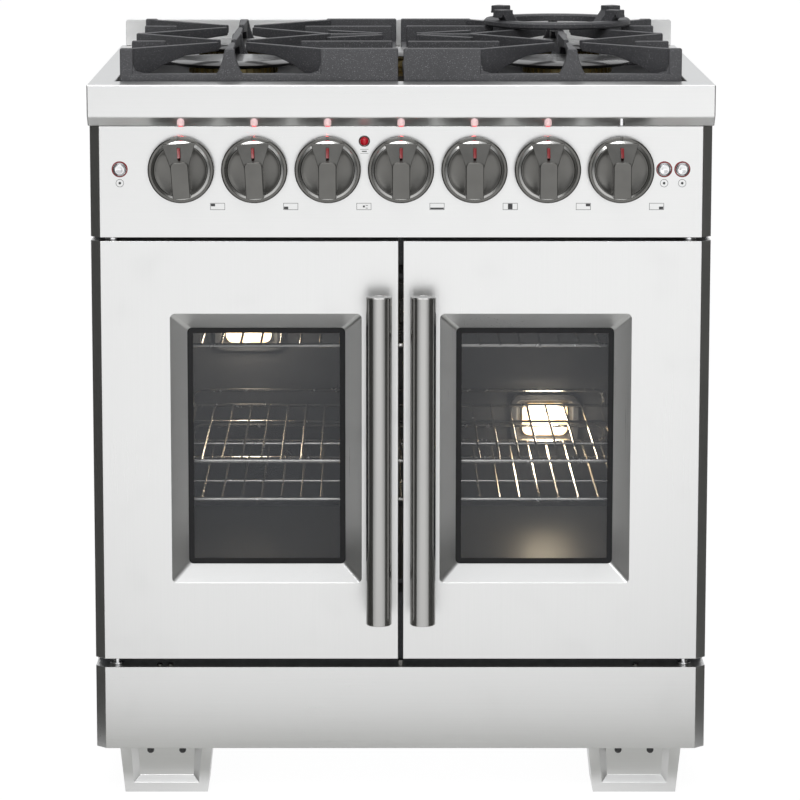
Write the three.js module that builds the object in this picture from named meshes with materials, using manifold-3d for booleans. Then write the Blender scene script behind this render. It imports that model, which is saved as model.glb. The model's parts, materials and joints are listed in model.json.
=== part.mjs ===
// Freestanding gas range with French oven doors, in millimetres.
// Origin on the floor under the middle of its box, +Z up, front towards -Y.
import * as THREE from 'three';
import { mergeVertices } from 'three/addons/utils/BufferGeometryUtils.js';
import Module from 'manifold-3d';

const wasm = await Module();
wasm.setup();

// Overall sizes
const BODY_WIDTH = 759;
const BODY_DEPTH = 640;
const LEG_HEIGHT = 57;
const KICK_HEIGHT = 104;
const DOOR_HEIGHT = 523;
const PANEL_HEIGHT = 136;
const COOKTOP_HEIGHT = 51;
const GRATE_RISE = 40;
// Sheet, clearances and front edges
const SHEET = 2;
const GAP = 0.3;
const EDGE_CHAMFER = 12;
const FRONT_DEPTH = 50;
// Doors
const LOWER_GAP = 10.5;
const UPPER_GAP = 4.5;
const CENTRE_GAP = 6.2;
const DOOR_SKIN_DEPTH = 40;
const INNER_PANEL = 5.5;
const INNER_PANEL_SETBACK = 14;
const WINDOW_INSET = 45;
const WINDOW_SILL = 96.5;
const WINDOW_MARGIN = 96.4;
const WINDOW_HEAD = 89.5;
const WINDOW_BEVEL = 20.5;
const PANE_LIP = 8;
const PANE_THICKNESS = 4;
// Door hinge pins
const HINGE_INSET = 26;
const HINGE_DEPTH = 20;
const PIN_RADIUS = 5;
const PIN_ENTRY = 8;
// Handles
const HANDLE_RADIUS = 15.7;
const HANDLE_STANDOFF = 27;
const HANDLE_RISE = 53.5;
const HANDLE_DROP = 62.5;
const HANDLE_INSET = 23.8;
const POST_RADIUS = 8;
const POST_FROM_END = 55;
// Knobs, valves and buttons
const KNOB_TO_BUTTON = 4.2;
const KNOB_DROP = 52.4;
const KNOB_SPACE = 8.6;
const KNOB_SKIRT = 13;
const KNOB_HEIGHT = 38;
const GRIP_WIDTH = 24;
const RIM_WIDTH = 6;
const RIM_SETBACK = 5;
const PUSH_TRAVEL = 3;
const STEM_RADIUS = 4;
const STEM_IN_KNOB = 14;
const STEM_BEHIND = 35;
const BUTTON_RADIUS = 8.4;
const BUTTON_HEIGHT = 6;
const BUTTON_MARGIN = 37;
const BUTTON_PITCH = 22;
const JEWEL_RADIUS = 6.5;
const JEWEL_DROP = 18;
// Cooktop and burners
const COOKTOP_OVERHANG = 1.5;
const RIM_SIDE = 31;
const RIM_FRONT = 54;
const RIM_REAR = 42;
const TRAY_DEPTH = 13;
const SKIRT_WALL = 9;
const RISER_HEIGHT = 36;
const RISER_THICKNESS = 12;
const RISER_SHORTENING = 7;
const RISER_CORNER = 10;
const BURNER_FROM_SIDE = 134;
const BURNER_RADIUS = 57;
const BURNER_THROAT = 22;
const CORNER_CAP_RADIUS = 80;
const CENTRE_CAP_RADIUS = 60;
const CAP_TOP_BELOW_GRATE = 22;
// Grates and wok ring
const GRATE_MARGIN = 6;
const GRATE_SPLIT = 6.4;
const RAIL_WIDTH = 13;
const RAIL_HEIGHT = 11;
const RAIL_LIFT = 11;
const FINGER_WIDTH = 9;
const FINGER_TIP_HEIGHT = 11;
const FINGER_REACH = 27;
const BURNER_CLEARANCE = 6;
const STUB_CLEARANCE = 5;
const STUB_TIP_HEIGHT = 24;
const GRATE_BLOCK = 95;
const POST_TOP = 11;
const POST_BASE = 36;
const WOK_RADIUS = 97;
const WOK_WIDTH = 20;
const WOK_HEIGHT = 9;
const PRONG_RISE = 14;
const PRONG_THICKNESS = 18;
const PRONG_ANGLE = Math.PI * 0.18;
// Oven
const CAVITY_SIDE_SPACE = 74.5;
const CAVITY_REAR_SPACE = 120;
const CAVITY_SILL = 91;
const CAVITY_HEAD = 52;
const FACE_FRAME = 3;
const RIB_WIDTH = 8;
const RIB_HEIGHT = 4;
const RACK_LEVELS = 5;
const FIRST_RACK = 92;
const RACK_HEADROOM = 92;
const RACK_WIRE = 4;
const RACK_SPACING = 25;
const RACK_TRAVEL = 26;
const LAMP_DEPTH = 12;
const LAMP_RADIUS = 30;
const LAMP_FROM_SIDE = 105;
const LAMP_RISE = 127;
// Rear and feet
const REAR_RECESS = 16;
const FRONT_LEG_WIDTH = 115;
const FRONT_LEG_INSET = 29.5;
const FRONT_LEG_TAPER = 6;
const FRONT_LEG_DEPTH = 80;
const REAR_LEG_RADIUS = 18;

// Positions that follow from the sizes
const HALF = BODY_WIDTH / 2;
const HANDLE_REACH = HANDLE_STANDOFF + 2 * HANDLE_RADIUS;
const FACE = (HANDLE_REACH - BODY_DEPTH) / 2;
const REAR = FACE + BODY_DEPTH;
const BODY_FRONT = FACE + FRONT_DEPTH;
const REAR_PANEL = REAR - REAR_RECESS - SHEET;
const SIDE_INSIDE = HALF - SHEET;
const KICK_TOP = LEG_HEIGHT + KICK_HEIGHT;
const DOOR_BOTTOM = KICK_TOP + LOWER_GAP;
const DOOR_TOP = DOOR_BOTTOM + DOOR_HEIGHT;
const PANEL_BOTTOM = DOOR_TOP + UPPER_GAP;
const PANEL_TOP = PANEL_BOTTOM + PANEL_HEIGHT;
const COOKTOP_BOTTOM = PANEL_TOP + GAP;
const RIM_TOP = COOKTOP_BOTTOM + COOKTOP_HEIGHT;
const TRAY_TOP = RIM_TOP - TRAY_DEPTH;
const GRATE_TOP = RIM_TOP + GRATE_RISE;
const COOKTOP_FRONT = FACE - EDGE_CHAMFER;
const COOKTOP_HALF = HALF + COOKTOP_OVERHANG;
const HINGE_X = HALF - HINGE_INSET;
const HINGE_Y = FACE + HINGE_DEPTH;
const HANDLE_X = CENTRE_GAP / 2 + HANDLE_INSET;
const HANDLE_LENGTH = DOOR_HEIGHT - HANDLE_RISE - HANDLE_DROP;
const WINDOW_WIDTH = HALF - CENTRE_GAP / 2 - WINDOW_INSET - WINDOW_MARGIN;
const WINDOW_HEIGHT = DOOR_HEIGHT - WINDOW_SILL - WINDOW_HEAD;
const KNOB_Z = PANEL_TOP - KNOB_DROP;
const KNOB_BACK = FACE - PUSH_TRAVEL - 1;
const CAVITY_WIDTH = BODY_WIDTH - 2 * CAVITY_SIDE_SPACE;
const CAVITY_HEIGHT = DOOR_HEIGHT - CAVITY_SILL - CAVITY_HEAD;
const CAVITY_DEPTH = BODY_DEPTH - FRONT_DEPTH - CAVITY_REAR_SPACE;
const CAVITY_BOTTOM = DOOR_BOTTOM + CAVITY_SILL;
const CAVITY_TOP = CAVITY_BOTTOM + CAVITY_HEIGHT;
const LINER_FRONT = BODY_FRONT + FACE_FRAME + GAP;
const LINER_BACK = LINER_FRONT + CAVITY_DEPTH;
const RACK_PITCH = (CAVITY_HEIGHT - FIRST_RACK - RACK_HEADROOM) / (RACK_LEVELS - 1);
const LAMP_X = CAVITY_WIDTH / 2 - LAMP_FROM_SIDE;
const GRATE_OUTSIDE = COOKTOP_HALF - RIM_SIDE - GRATE_MARGIN;
const GRATE_FRONT = COOKTOP_FRONT + RIM_FRONT + 3;
const GRATE_REAR = REAR - RIM_REAR - 3;
const GRATE_BASE = TRAY_TOP + RAIL_LIFT;
const GRATE_MIDDLE = (GRATE_FRONT + GRATE_REAR) / 2;
const FRONT_BURNER = (GRATE_FRONT + GRATE_MIDDLE) / 2;
const REAR_BURNER = (GRATE_MIDDLE + GRATE_REAR) / 2;
const BURNER_X = GRATE_OUTSIDE - BURNER_FROM_SIDE;
// Each burner: x, y and the radius of its cap.
const BURNERS = {
  front_left: [-BURNER_X, FRONT_BURNER, CORNER_CAP_RADIUS],
  rear_left: [-BURNER_X, REAR_BURNER, CORNER_CAP_RADIUS],
  centre: [0, GRATE_MIDDLE, CENTRE_CAP_RADIUS],
  rear_right: [BURNER_X, REAR_BURNER, CORNER_CAP_RADIUS],
  front_right: [BURNER_X, FRONT_BURNER, CORNER_CAP_RADIUS],
};
const KNOBS = ['rear_left', 'front_left', 'thermostat', 'oven_mode', 'centre', 'rear_right', 'front_right'];
const KNOB_ROW = BODY_WIDTH - 2 * (BUTTON_MARGIN + BUTTON_PITCH + BUTTON_RADIUS + KNOB_TO_BUTTON);
const KNOB_RADIUS = (KNOB_ROW - (KNOBS.length - 1) * KNOB_SPACE) / KNOBS.length / 2;
const KNOB_PITCH = 2 * KNOB_RADIUS + KNOB_SPACE;
const JEWEL_X = -KNOB_PITCH / 2;
const BUTTON_POSITIONS = {
  lamp_button: BUTTON_MARGIN - HALF,
  fan_button: HALF - BUTTON_MARGIN - BUTTON_PITCH,
  ignition_button: HALF - BUTTON_MARGIN,
};

const steel = { color: 0xd6d6d4, roughness: 0.35, metalness: 1 };
const darkSteel = { color: 0x5f5d58, roughness: 0.3, metalness: 1 };
const castIron = { color: 0x3a3a3d, roughness: 0.75, metalness: 0.3 };
const enamel = { color: 0x2b2c2f, roughness: 0.35, metalness: 0 };
const zinc = { color: 0xb4b6b6, roughness: 0.5, metalness: 1 };
const chrome = { color: 0xdddddd, roughness: 0.12, metalness: 1 };
const brass = { color: 0x9b8650, roughness: 0.4, metalness: 1 };
const glass = { color: 0x2a2f31, roughness: 0.05, metalness: 0 };
const rubber = { color: 0x202020, roughness: 0.8, metalness: 0 };

// Turns a closed geometry into a solid that can be joined and cut.
function solid(geometry) {
  geometry.deleteAttribute('normal');
  geometry.deleteAttribute('uv');
  const merged = mergeVertices(geometry, 1e-4);
  const mesh = new wasm.Mesh({
    numProp: 3,
    vertProperties: new Float32Array(merged.attributes.position.array),
    triVerts: new Uint32Array(merged.index.array),
  });
  return new wasm.Manifold(mesh);
}

function geometryOf(body) {
  const mesh = body.getMesh();
  const geometry = new THREE.BufferGeometry();
  geometry.setAttribute('position', new THREE.BufferAttribute(mesh.vertProperties, 3));
  geometry.setIndex(new THREE.BufferAttribute(mesh.triVerts, 1));
  geometry.computeVertexNormals();
  return geometry;
}

// A block between two limits on each axis, in either order.
function block(x, y, z) {
  const geometry = new THREE.BoxGeometry(Math.abs(x[1] - x[0]), Math.abs(y[1] - y[0]), Math.abs(z[1] - z[0]));
  geometry.translate((x[0] + x[1]) / 2, (y[0] + y[1]) / 2, (z[0] + z[1]) / 2);
  return solid(geometry);
}

function extrusion(points, low, high, toA, toB, along) {
  const shape = new THREE.Shape(points.map(([a, b]) => new THREE.Vector2(a, b)));
  const geometry = new THREE.ExtrudeGeometry(shape, { depth: high - low, bevelEnabled: false, curveSegments: 6 });
  geometry.translate(0, 0, low);
  geometry.applyMatrix4(new THREE.Matrix4().makeBasis(toA, toB, along));
  return solid(geometry);
}

const X = new THREE.Vector3(1, 0, 0);
const Y = new THREE.Vector3(0, 1, 0);
const Z = new THREE.Vector3(0, 0, 1);

// Prisms: the outline is given in the two other axes, in X, Y, Z order.
const prismX = (points, low, high) => extrusion(points, low, high, Y, Z, X);
const prismY = (points, low, high) => extrusion(points.map(([x, z]) => [z, x]), low, high, Z, X, Y);
const prismZ = (points, low, high) => extrusion(points, low, high, X, Y, Z);

function rodY(radius, x, z, low, high, sides = 24) {
  const geometry = new THREE.CylinderGeometry(radius, radius, high - low, sides);
  geometry.translate(x, (low + high) / 2, z);
  return solid(geometry);
}

function rodZ(radius, x, y, low, high, sides = 24) {
  const geometry = new THREE.CylinderGeometry(radius, radius, high - low, sides);
  geometry.rotateX(Math.PI / 2);
  geometry.translate(x, y, (low + high) / 2);
  return solid(geometry);
}

// A turned piece about a vertical axis; the profile is [radius, height] points.
function turnedZ(profile, x, y, sides = 24) {
  const points = profile.map(([r, h]) => new THREE.Vector2(r, h));
  const geometry = new THREE.LatheGeometry(points, sides);
  geometry.rotateX(Math.PI / 2);
  geometry.translate(x, y, 0);
  return solid(geometry);
}

// A turned piece about an axis along Y; heights run towards +Y.
function turnedY(profile, x, z, sides = 24) {
  const points = profile.map(([r, h]) => new THREE.Vector2(r, h));
  const geometry = new THREE.LatheGeometry(points, sides);
  geometry.translate(x, 0, z);
  return solid(geometry);
}

// A rectangle [left, right, bottom, top] moved in by a margin.
const shrink = ([left, right, bottom, top], by) => [left + by, right - by, bottom + by, top - by];

// A rectangular tunnel that narrows from one rectangle to another along Y.
function funnel(near, far, nearY, farY) {
  const geometry = new THREE.BoxGeometry(1, 1, 1);
  const position = geometry.attributes.position;
  for (let i = 0; i < position.count; i += 1) {
    const rectangle = position.getY(i) < 0 ? near : far;
    const x = position.getX(i) < 0 ? rectangle[0] : rectangle[1];
    const z = position.getZ(i) < 0 ? rectangle[2] : rectangle[3];
    position.setXYZ(i, x, position.getY(i) < 0 ? nearY : farY, z);
  }
  return solid(geometry);
}

const range = new THREE.Group();

function place(name, body, finish) {
  const mesh = new THREE.Mesh(geometryOf(body), new THREE.MeshStandardMaterial(finish));
  mesh.name = name;
  range.add(mesh);
}

// Plan outline of a front sheet with both vertical edges chamfered.
function frontPlan(inset, rear) {
  const side = HALF - inset;
  const chamfer = EDGE_CHAMFER - inset * (2 - Math.SQRT2);
  return [
    [-side, FACE + inset + chamfer],
    [-side + chamfer, FACE + inset],
    [side - chamfer, FACE + inset],
    [side, FACE + inset + chamfer],
    [side, rear],
    [-side, rear],
  ];
}

// Folded front sheet: a channel open to the rear.
function frontChannel(bottom, top) {
  const outside = prismZ(frontPlan(0, BODY_FRONT - GAP), bottom, top);
  const inside = prismZ(frontPlan(SHEET, BODY_FRONT + 1), bottom + SHEET, top - SHEET);
  return outside.subtract(inside);
}

function makeBasePan() {
  const x = [-SIDE_INSIDE + GAP, SIDE_INSIDE - GAP];
  const y = [BODY_FRONT + FACE_FRAME + GAP, REAR_PANEL - GAP];
  const outside = block(x, y, [LEG_HEIGHT, LEG_HEIGHT + 25]);
  const inside = block([x[0] + SHEET, x[1] - SHEET], [y[0] + SHEET, y[1] - SHEET], [LEG_HEIGHT + SHEET, LEG_HEIGHT + 26]);
  place('base_pan', outside.subtract(inside), zinc);
}

function makeSidePanels() {
  for (const [name, side] of [['left_side_panel', -1], ['right_side_panel', 1]]) {
    const sheet = block([side * SIDE_INSIDE, side * HALF], [BODY_FRONT, REAR], [LEG_HEIGHT, COOKTOP_BOTTOM - GAP]);
    place(name, sheet, steel);
  }
}

function makeRearPanel() {
  const x = [-SIDE_INSIDE + GAP, SIDE_INSIDE - GAP];
  const sheet = block(x, [REAR_PANEL, REAR_PANEL + SHEET], [LEG_HEIGHT, COOKTOP_BOTTOM - GAP]);
  const gasHole = rodY(GAS.neck + GAP, GAS.x, GAS.z, REAR_PANEL - 1, REAR_PANEL + SHEET + 1);
  const powerHole = rodY(POWER.neck + GAP, POWER.x, POWER.z, REAR_PANEL - 1, REAR_PANEL + SHEET + 1);
  place('rear_panel', sheet.subtract(gasHole).subtract(powerHole), zinc);
}

// Inlets on the back, inside the recess between the side panels.
const GAS = { name: 'gas_inlet', x: 300, z: 120, neck: 10, flange: 16, bore: 6, finish: brass };
const POWER = { name: 'power_gland', x: -300, z: 120, neck: 9, flange: 13, bore: 5, finish: rubber };

function makeInlet({ name, x, z, neck, flange, bore, finish }) {
  const outside = REAR_PANEL + SHEET + GAP;
  const end = REAR - 2;
  const profile = [
    [0, outside - 25],
    [neck, outside - 25],
    [neck, outside],
    [flange, outside],
    [flange, outside + 5],
    [neck, outside + 6],
    [neck, end],
    [bore, end],
    [bore, outside + 2],
    [0, outside + 2],
  ];
  place(name, turnedY(profile, x, z, 12), finish);
}

function makeCooktop() {
  const side = [
    [FACE, COOKTOP_BOTTOM],
    [COOKTOP_FRONT, COOKTOP_BOTTOM + EDGE_CHAMFER],
    [COOKTOP_FRONT, RIM_TOP],
    [REAR, RIM_TOP],
    [REAR, COOKTOP_BOTTOM],
  ];
  const outside = prismX(side, -COOKTOP_HALF, COOKTOP_HALF);
  const hollowHalf = COOKTOP_HALF - SKIRT_WALL;
  const hollowY = [FACE + SKIRT_WALL, REAR - SKIRT_WALL];
  const hollow = block([-hollowHalf, hollowHalf], hollowY, [COOKTOP_BOTTOM - 1, TRAY_TOP - SHEET]);
  const trayX = COOKTOP_HALF - RIM_SIDE;
  const trayY = [COOKTOP_FRONT + RIM_FRONT, REAR - RIM_REAR];
  const tray = block([-trayX, trayX], trayY, [TRAY_TOP, RIM_TOP + 1]);
  let top = outside.subtract(hollow).subtract(tray);
  for (const [x, y] of Object.values(BURNERS)) {
    top = top.subtract(rodZ(BURNER_THROAT + 1, x, y, TRAY_TOP - 5, TRAY_TOP + 1));
  }
  place('cooktop', top, steel);
}

// Low upstand along the rear edge, with rounded upper corners.
function makeBackRiser() {
  const half = COOKTOP_HALF - RISER_SHORTENING;
  const bottom = RIM_TOP + GAP;
  const top = RIM_TOP + RISER_HEIGHT;
  const outline = [[-half, bottom], [half, bottom]];
  for (const side of [1, -1]) {
    for (let step = 0; step <= 4; step += 1) {
      const angle = (side > 0 ? step : 4 - step) * Math.PI / 8;
      const x = half - RISER_CORNER + RISER_CORNER * Math.cos(angle);
      outline.push([side * x, top - RISER_CORNER + RISER_CORNER * Math.sin(angle)]);
    }
  }
  place('back_riser', prismY(outline, REAR - RISER_THICKNESS, REAR), steel);
}

function makeControlPanel() {
  let panel = frontChannel(PANEL_BOTTOM, PANEL_TOP);
  for (const knob of KNOBS.keys()) {
    const x = knobX(knob);
    panel = panel.subtract(rodY(STEM_RADIUS + 1, x, KNOB_Z, FACE - 1, FACE + SHEET + 1, 12));
  }
  for (const x of Object.values(BUTTON_POSITIONS)) {
    panel = panel.subtract(rodY(BUTTON_RADIUS + 0.5, x, KNOB_Z, FACE - 1, FACE + SHEET + 1, 20));
  }
  const jewelHole = rodY(JEWEL_RADIUS - 1, JEWEL_X, PANEL_TOP - JEWEL_DROP, FACE - 1, FACE + SHEET + 1, 16);
  panel = panel.subtract(jewelHole);
  for (const side of [-1, 1]) {
    panel = panel.add(rodZ(PIN_RADIUS, side * HINGE_X, HINGE_Y, DOOR_TOP - PIN_ENTRY, PANEL_BOTTOM + 1, 16));
  }
  place('control_panel', panel, steel);
}

function makeKickPanel() {
  let kick = frontChannel(LEG_HEIGHT, KICK_TOP);
  for (const side of [-1, 1]) {
    kick = kick.add(rodZ(PIN_RADIUS, side * HINGE_X, HINGE_Y, KICK_TOP - 1, DOOR_BOTTOM + PIN_ENTRY, 16));
  }
  place('kick_panel', kick, steel);
}

const knobX = (index) => (index - (KNOBS.length - 1) / 2) * KNOB_PITCH;

// Jewel lens of the oven indicator: a domed head on a short spigot.
function makeIndicator() {
  const profile = [
    [0, FACE - 6],
    [JEWEL_RADIUS * 0.7, FACE - 4.5],
    [JEWEL_RADIUS, FACE - 2],
    [JEWEL_RADIUS, FACE - GAP],
    [JEWEL_RADIUS - 1.5, FACE - GAP],
    [JEWEL_RADIUS - 1.5, FACE + 8],
    [0, FACE + 8],
  ];
  place('indicator_jewel', turnedY(profile, JEWEL_X, PANEL_TOP - JEWEL_DROP, 12), { ...glass, color: 0xb01818 });
}

// Knob: stepped round skirt, tall grip bar that slopes to the pointer end, blind bore.
function makeKnob(index) {
  const x = knobX(index);
  const crown = KNOB_BACK - KNOB_HEIGHT;
  const skirtFront = KNOB_BACK - KNOB_SKIRT;
  const inner = KNOB_RADIUS - RIM_WIDTH;
  const profile = [
    [0, skirtFront],
    [inner - 2, skirtFront],
    [inner, skirtFront + RIM_SETBACK],
    [KNOB_RADIUS, skirtFront + RIM_SETBACK],
    [KNOB_RADIUS, KNOB_BACK],
    [0, KNOB_BACK],
  ];
  const skirt = turnedY(profile, x, KNOB_Z, 28);
  const reach = inner - 2;
  const half = GRIP_WIDTH / 2;
  const grip = prismX([
    [skirtFront + 1, KNOB_Z - reach],
    [crown, KNOB_Z - reach],
    [crown, KNOB_Z + reach * 0.45],
    [skirtFront - 1, KNOB_Z + reach],
    [skirtFront + 1, KNOB_Z + reach],
  ], x - half, x + half);
  const bore = rodY(STEM_RADIUS + GAP, x, KNOB_Z, KNOB_BACK - STEM_IN_KNOB - GAP, KNOB_BACK + 1, 12);
  place(`${KNOBS[index]}_knob`, skirt.add(grip).subtract(bore), darkSteel);
  const stem = rodY(STEM_RADIUS, x, KNOB_Z, KNOB_BACK - STEM_IN_KNOB, FACE + STEM_BEHIND, 12);
  place(`${KNOBS[index]}_stem`, stem, brass);
}

function makeButtons() {
  for (const [name, x] of Object.entries(BUTTON_POSITIONS)) {
    const profile = [
      [0, FACE - BUTTON_HEIGHT],
      [BUTTON_RADIUS - 1.2, FACE - BUTTON_HEIGHT],
      [BUTTON_RADIUS, FACE - BUTTON_HEIGHT + 1.2],
      [BUTTON_RADIUS, FACE + SHEET + 4],
      [BUTTON_RADIUS + 2, FACE + SHEET + 4],
      [BUTTON_RADIUS + 2, FACE + SHEET + 8],
      [0, FACE + SHEET + 8],
    ];
    place(name, turnedY(profile, x, KNOB_Z, 16), chrome);
  }
}

// Window opening in the door face, as [left, right, bottom, top] for one side.
function windowRectangle(side) {
  const near = CENTRE_GAP / 2 + WINDOW_INSET;
  const far = near + WINDOW_WIDTH;
  const bottom = DOOR_BOTTOM + WINDOW_SILL;
  const x = side > 0 ? [near, far] : [-far, -near];
  return [...x, bottom, bottom + WINDOW_HEIGHT];
}

function makeDoorSkin(name, side) {
  const near = CENTRE_GAP / 2;
  const rear = FACE + DOOR_SKIN_DEPTH;
  const relief = 6;
  const outline = [
    [near, FACE],
    [HALF - EDGE_CHAMFER, FACE],
    [HALF, FACE + EDGE_CHAMFER],
    [HALF, rear - relief],
    [HALF - relief, rear],
    [near, rear],
  ];
  const inner = HALF - relief - SHEET;
  const hollow = [
    [near + SHEET, FACE + SHEET],
    [inner - EDGE_CHAMFER + relief, FACE + SHEET],
    [inner, FACE + SHEET + EDGE_CHAMFER - relief],
    [inner, rear + 1],
    [near + SHEET, rear + 1],
  ];
  const mirrored = (points) => points.map(([x, y]) => [side * x, y]);
  let skin = prismZ(mirrored(outline), DOOR_BOTTOM, DOOR_TOP);
  skin = skin.subtract(prismZ(mirrored(hollow), DOOR_BOTTOM + SHEET, DOOR_TOP - SHEET));
  const opening = windowRectangle(side);
  const wall = shrink(opening, -SHEET);
  skin = skin.add(funnel(wall, shrink(wall, WINDOW_BEVEL), FACE + 0.5, FACE + WINDOW_BEVEL + 0.5));
  const near1 = shrink(opening, -1);
  const far1 = shrink(opening, WINDOW_BEVEL + 1);
  skin = skin.subtract(funnel(near1, far1, FACE - 1, FACE + WINDOW_BEVEL + 1));
  const pinHoles = [[DOOR_BOTTOM - 1, DOOR_BOTTOM + SHEET + 1], [DOOR_TOP - SHEET - 1, DOOR_TOP + 1]];
  for (const [low, high] of pinHoles) {
    skin = skin.subtract(rodZ(PIN_RADIUS + GAP, side * HINGE_X, HINGE_Y, low, high, 16));
  }
  place(name, skin, steel);
}

function makeDoorGlass(name, side) {
  const [left, right, bottom, top] = shrink(windowRectangle(side), WINDOW_BEVEL - PANE_LIP);
  const front = FACE + WINDOW_BEVEL + 1;
  place(name, block([left, right], [front, front + PANE_THICKNESS], [bottom, top]), glass);
}

// Inner panel: closes the back of the door; its collar holds the pane's edge.
function makeDoorInner(name, side) {
  const front = FACE + DOOR_SKIN_DEPTH + GAP;
  const back = front + INNER_PANEL;
  const x = [side * (CENTRE_GAP / 2), side * (HALF - INNER_PANEL_SETBACK)];
  let panel = block(x, [front, back], [DOOR_BOTTOM, DOOR_TOP]);
  const opening = shrink(windowRectangle(side), WINDOW_BEVEL);
  const collar = shrink(opening, -PANE_LIP);
  const collarFront = FACE + WINDOW_BEVEL + 1 + PANE_THICKNESS + GAP;
  panel = panel.add(funnel(collar, collar, collarFront, front + 1));
  panel = panel.subtract(funnel(opening, opening, collarFront - 1, back + 1));
  place(name, panel, enamel);
}

function makeHandle(name, side) {
  const y = FACE - HANDLE_STANDOFF - HANDLE_RADIUS;
  const bottom = DOOR_BOTTOM + HANDLE_RISE;
  let handle = rodZ(HANDLE_RADIUS, side * HANDLE_X, y, bottom, bottom + HANDLE_LENGTH);
  for (const z of [bottom + POST_FROM_END, bottom + HANDLE_LENGTH - POST_FROM_END]) {
    handle = handle.add(rodY(POST_RADIUS, side * HANDLE_X, z, y, FACE - GAP, 12));
  }
  place(name, handle, darkSteel);
}

// Oven cavity: enamelled box open at the front, with rack ribs on both sides.
function makeOvenLiner() {
  const half = CAVITY_WIDTH / 2;
  const outside = block(
    [-half - SHEET, half + SHEET],
    [LINER_FRONT, LINER_BACK + SHEET],
    [CAVITY_BOTTOM - SHEET, CAVITY_TOP + SHEET],
  );
  const inside = block([-half, half], [LINER_FRONT - 1, LINER_BACK], [CAVITY_BOTTOM, CAVITY_TOP]);
  let liner = outside.subtract(inside);
  for (let level = 0; level < RACK_LEVELS; level += 1) {
    const top = rackBottom(level) - GAP;
    for (const side of [-1, 1]) {
      const x = [side * (half + 1), side * (half - RIB_WIDTH)];
      liner = liner.add(block(x, [LINER_FRONT + 10, LINER_BACK - 10], [top - RIB_HEIGHT, top]));
    }
  }
  place('oven_liner', liner, enamel);
}

const rackBottom = (level) => CAVITY_BOTTOM + FIRST_RACK + level * RACK_PITCH;

function makeFaceFrame() {
  const x = SIDE_INSIDE - GAP;
  const half = CAVITY_WIDTH / 2;
  const plate = block([-x, x], [BODY_FRONT, BODY_FRONT + FACE_FRAME], [LEG_HEIGHT, PANEL_BOTTOM + 20]);
  const opening = block([-half, half], [BODY_FRONT - 1, BODY_FRONT + FACE_FRAME + 1], [CAVITY_BOTTOM, CAVITY_TOP]);
  place('oven_face_frame', plate.subtract(opening), enamel);
}

// Door seal: a soft square ring lying on the face frame around the cavity.
function makeGasket() {
  const half = CAVITY_WIDTH / 2 + 6;
  const opening = [-half, half, CAVITY_BOTTOM - 6, CAVITY_TOP + 6];
  const outline = shrink(opening, -10);
  const y = [FACE + DOOR_SKIN_DEPTH + GAP + INNER_PANEL + GAP, BODY_FRONT - GAP];
  const ring = funnel(outline, outline, y[0], y[1]).subtract(funnel(opening, opening, y[0] - 1, y[1] + 1));
  place('oven_gasket', ring, rubber);
}

// Wire rack: longitudinal wires in a frame, with a raised stop along the rear.
function makeRack(name, level) {
  const half = CAVITY_WIDTH / 2 - 3;
  const front = LINER_FRONT + RACK_TRAVEL + 4;
  const back = LINER_BACK - LAMP_DEPTH - 4;
  const bottom = rackBottom(level);
  let rack = block([-half, half], [front, back], [bottom, bottom + RACK_WIRE]);
  const count = Math.round(2 * half / RACK_SPACING);
  const pitch = (2 * half - RACK_WIRE) / count;
  for (let i = 0; i < count; i += 1) {
    const left = -half + RACK_WIRE + i * pitch;
    const slot = [left, left + pitch - RACK_WIRE];
    rack = rack.subtract(block(slot, [front + RACK_WIRE, back - RACK_WIRE], [bottom - 1, bottom + RACK_WIRE + 1]));
  }
  const stopY = [back - RACK_WIRE, back];
  const stop = block([-half + 20, half - 20], stopY, [bottom, bottom + 26]);
  const stopHole = block([-half + 24, half - 24], [stopY[0] - 1, back + 1], [bottom + RACK_WIRE, bottom + 22]);
  place(name, rack.add(stop.subtract(stopHole)), chrome);
}

// Halogen oven lamp lens on the rear wall of the cavity.
function makeLampLens() {
  const y = LINER_BACK - GAP;
  const front = y - LAMP_DEPTH;
  const profile = [[0, front], [LAMP_RADIUS - 8, front], [LAMP_RADIUS - 2, front + 4], [LAMP_RADIUS, y], [0, y]];
  const lens = turnedY(profile, LAMP_X, CAVITY_BOTTOM + LAMP_RISE, 24);
  place('oven_lamp_lens', lens, { ...glass, color: 0xfff0c8 });
}

function makeFrontLeg(name, side) {
  const outer = HALF - FRONT_LEG_INSET;
  const inner = outer - FRONT_LEG_WIDTH;
  const top = LEG_HEIGHT - GAP;
  const front = FACE + 4;
  const back = front + FRONT_LEG_DEPTH;
  const outline = [[inner, top], [outer, top], [outer - FRONT_LEG_TAPER, 0], [inner + FRONT_LEG_TAPER, 0]];
  const face = outline.map(([x, z]) => [side * x, z]);
  let leg = prismY(face, front, back);
  const recess = [inner + 12, outer - 12, 13, top - 1];
  const near = side > 0 ? recess : [-recess[1], -recess[0], recess[2], recess[3]];
  leg = leg.subtract(funnel(shrink(near, -0.5), shrink(near, 8), front - 0.5, front + 8));
  place(name, leg, steel);
}

function makeRearLeg(name, side) {
  const profile = [
    [0, 0],
    [REAR_LEG_RADIUS, 0],
    [REAR_LEG_RADIUS, 8],
    [REAR_LEG_RADIUS - 6, 12],
    [REAR_LEG_RADIUS - 6, LEG_HEIGHT - GAP],
    [0, LEG_HEIGHT - GAP],
  ];
  place(name, turnedZ(profile, side * (HALF - 60), REAR - 80, 24), zinc);
}

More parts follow.
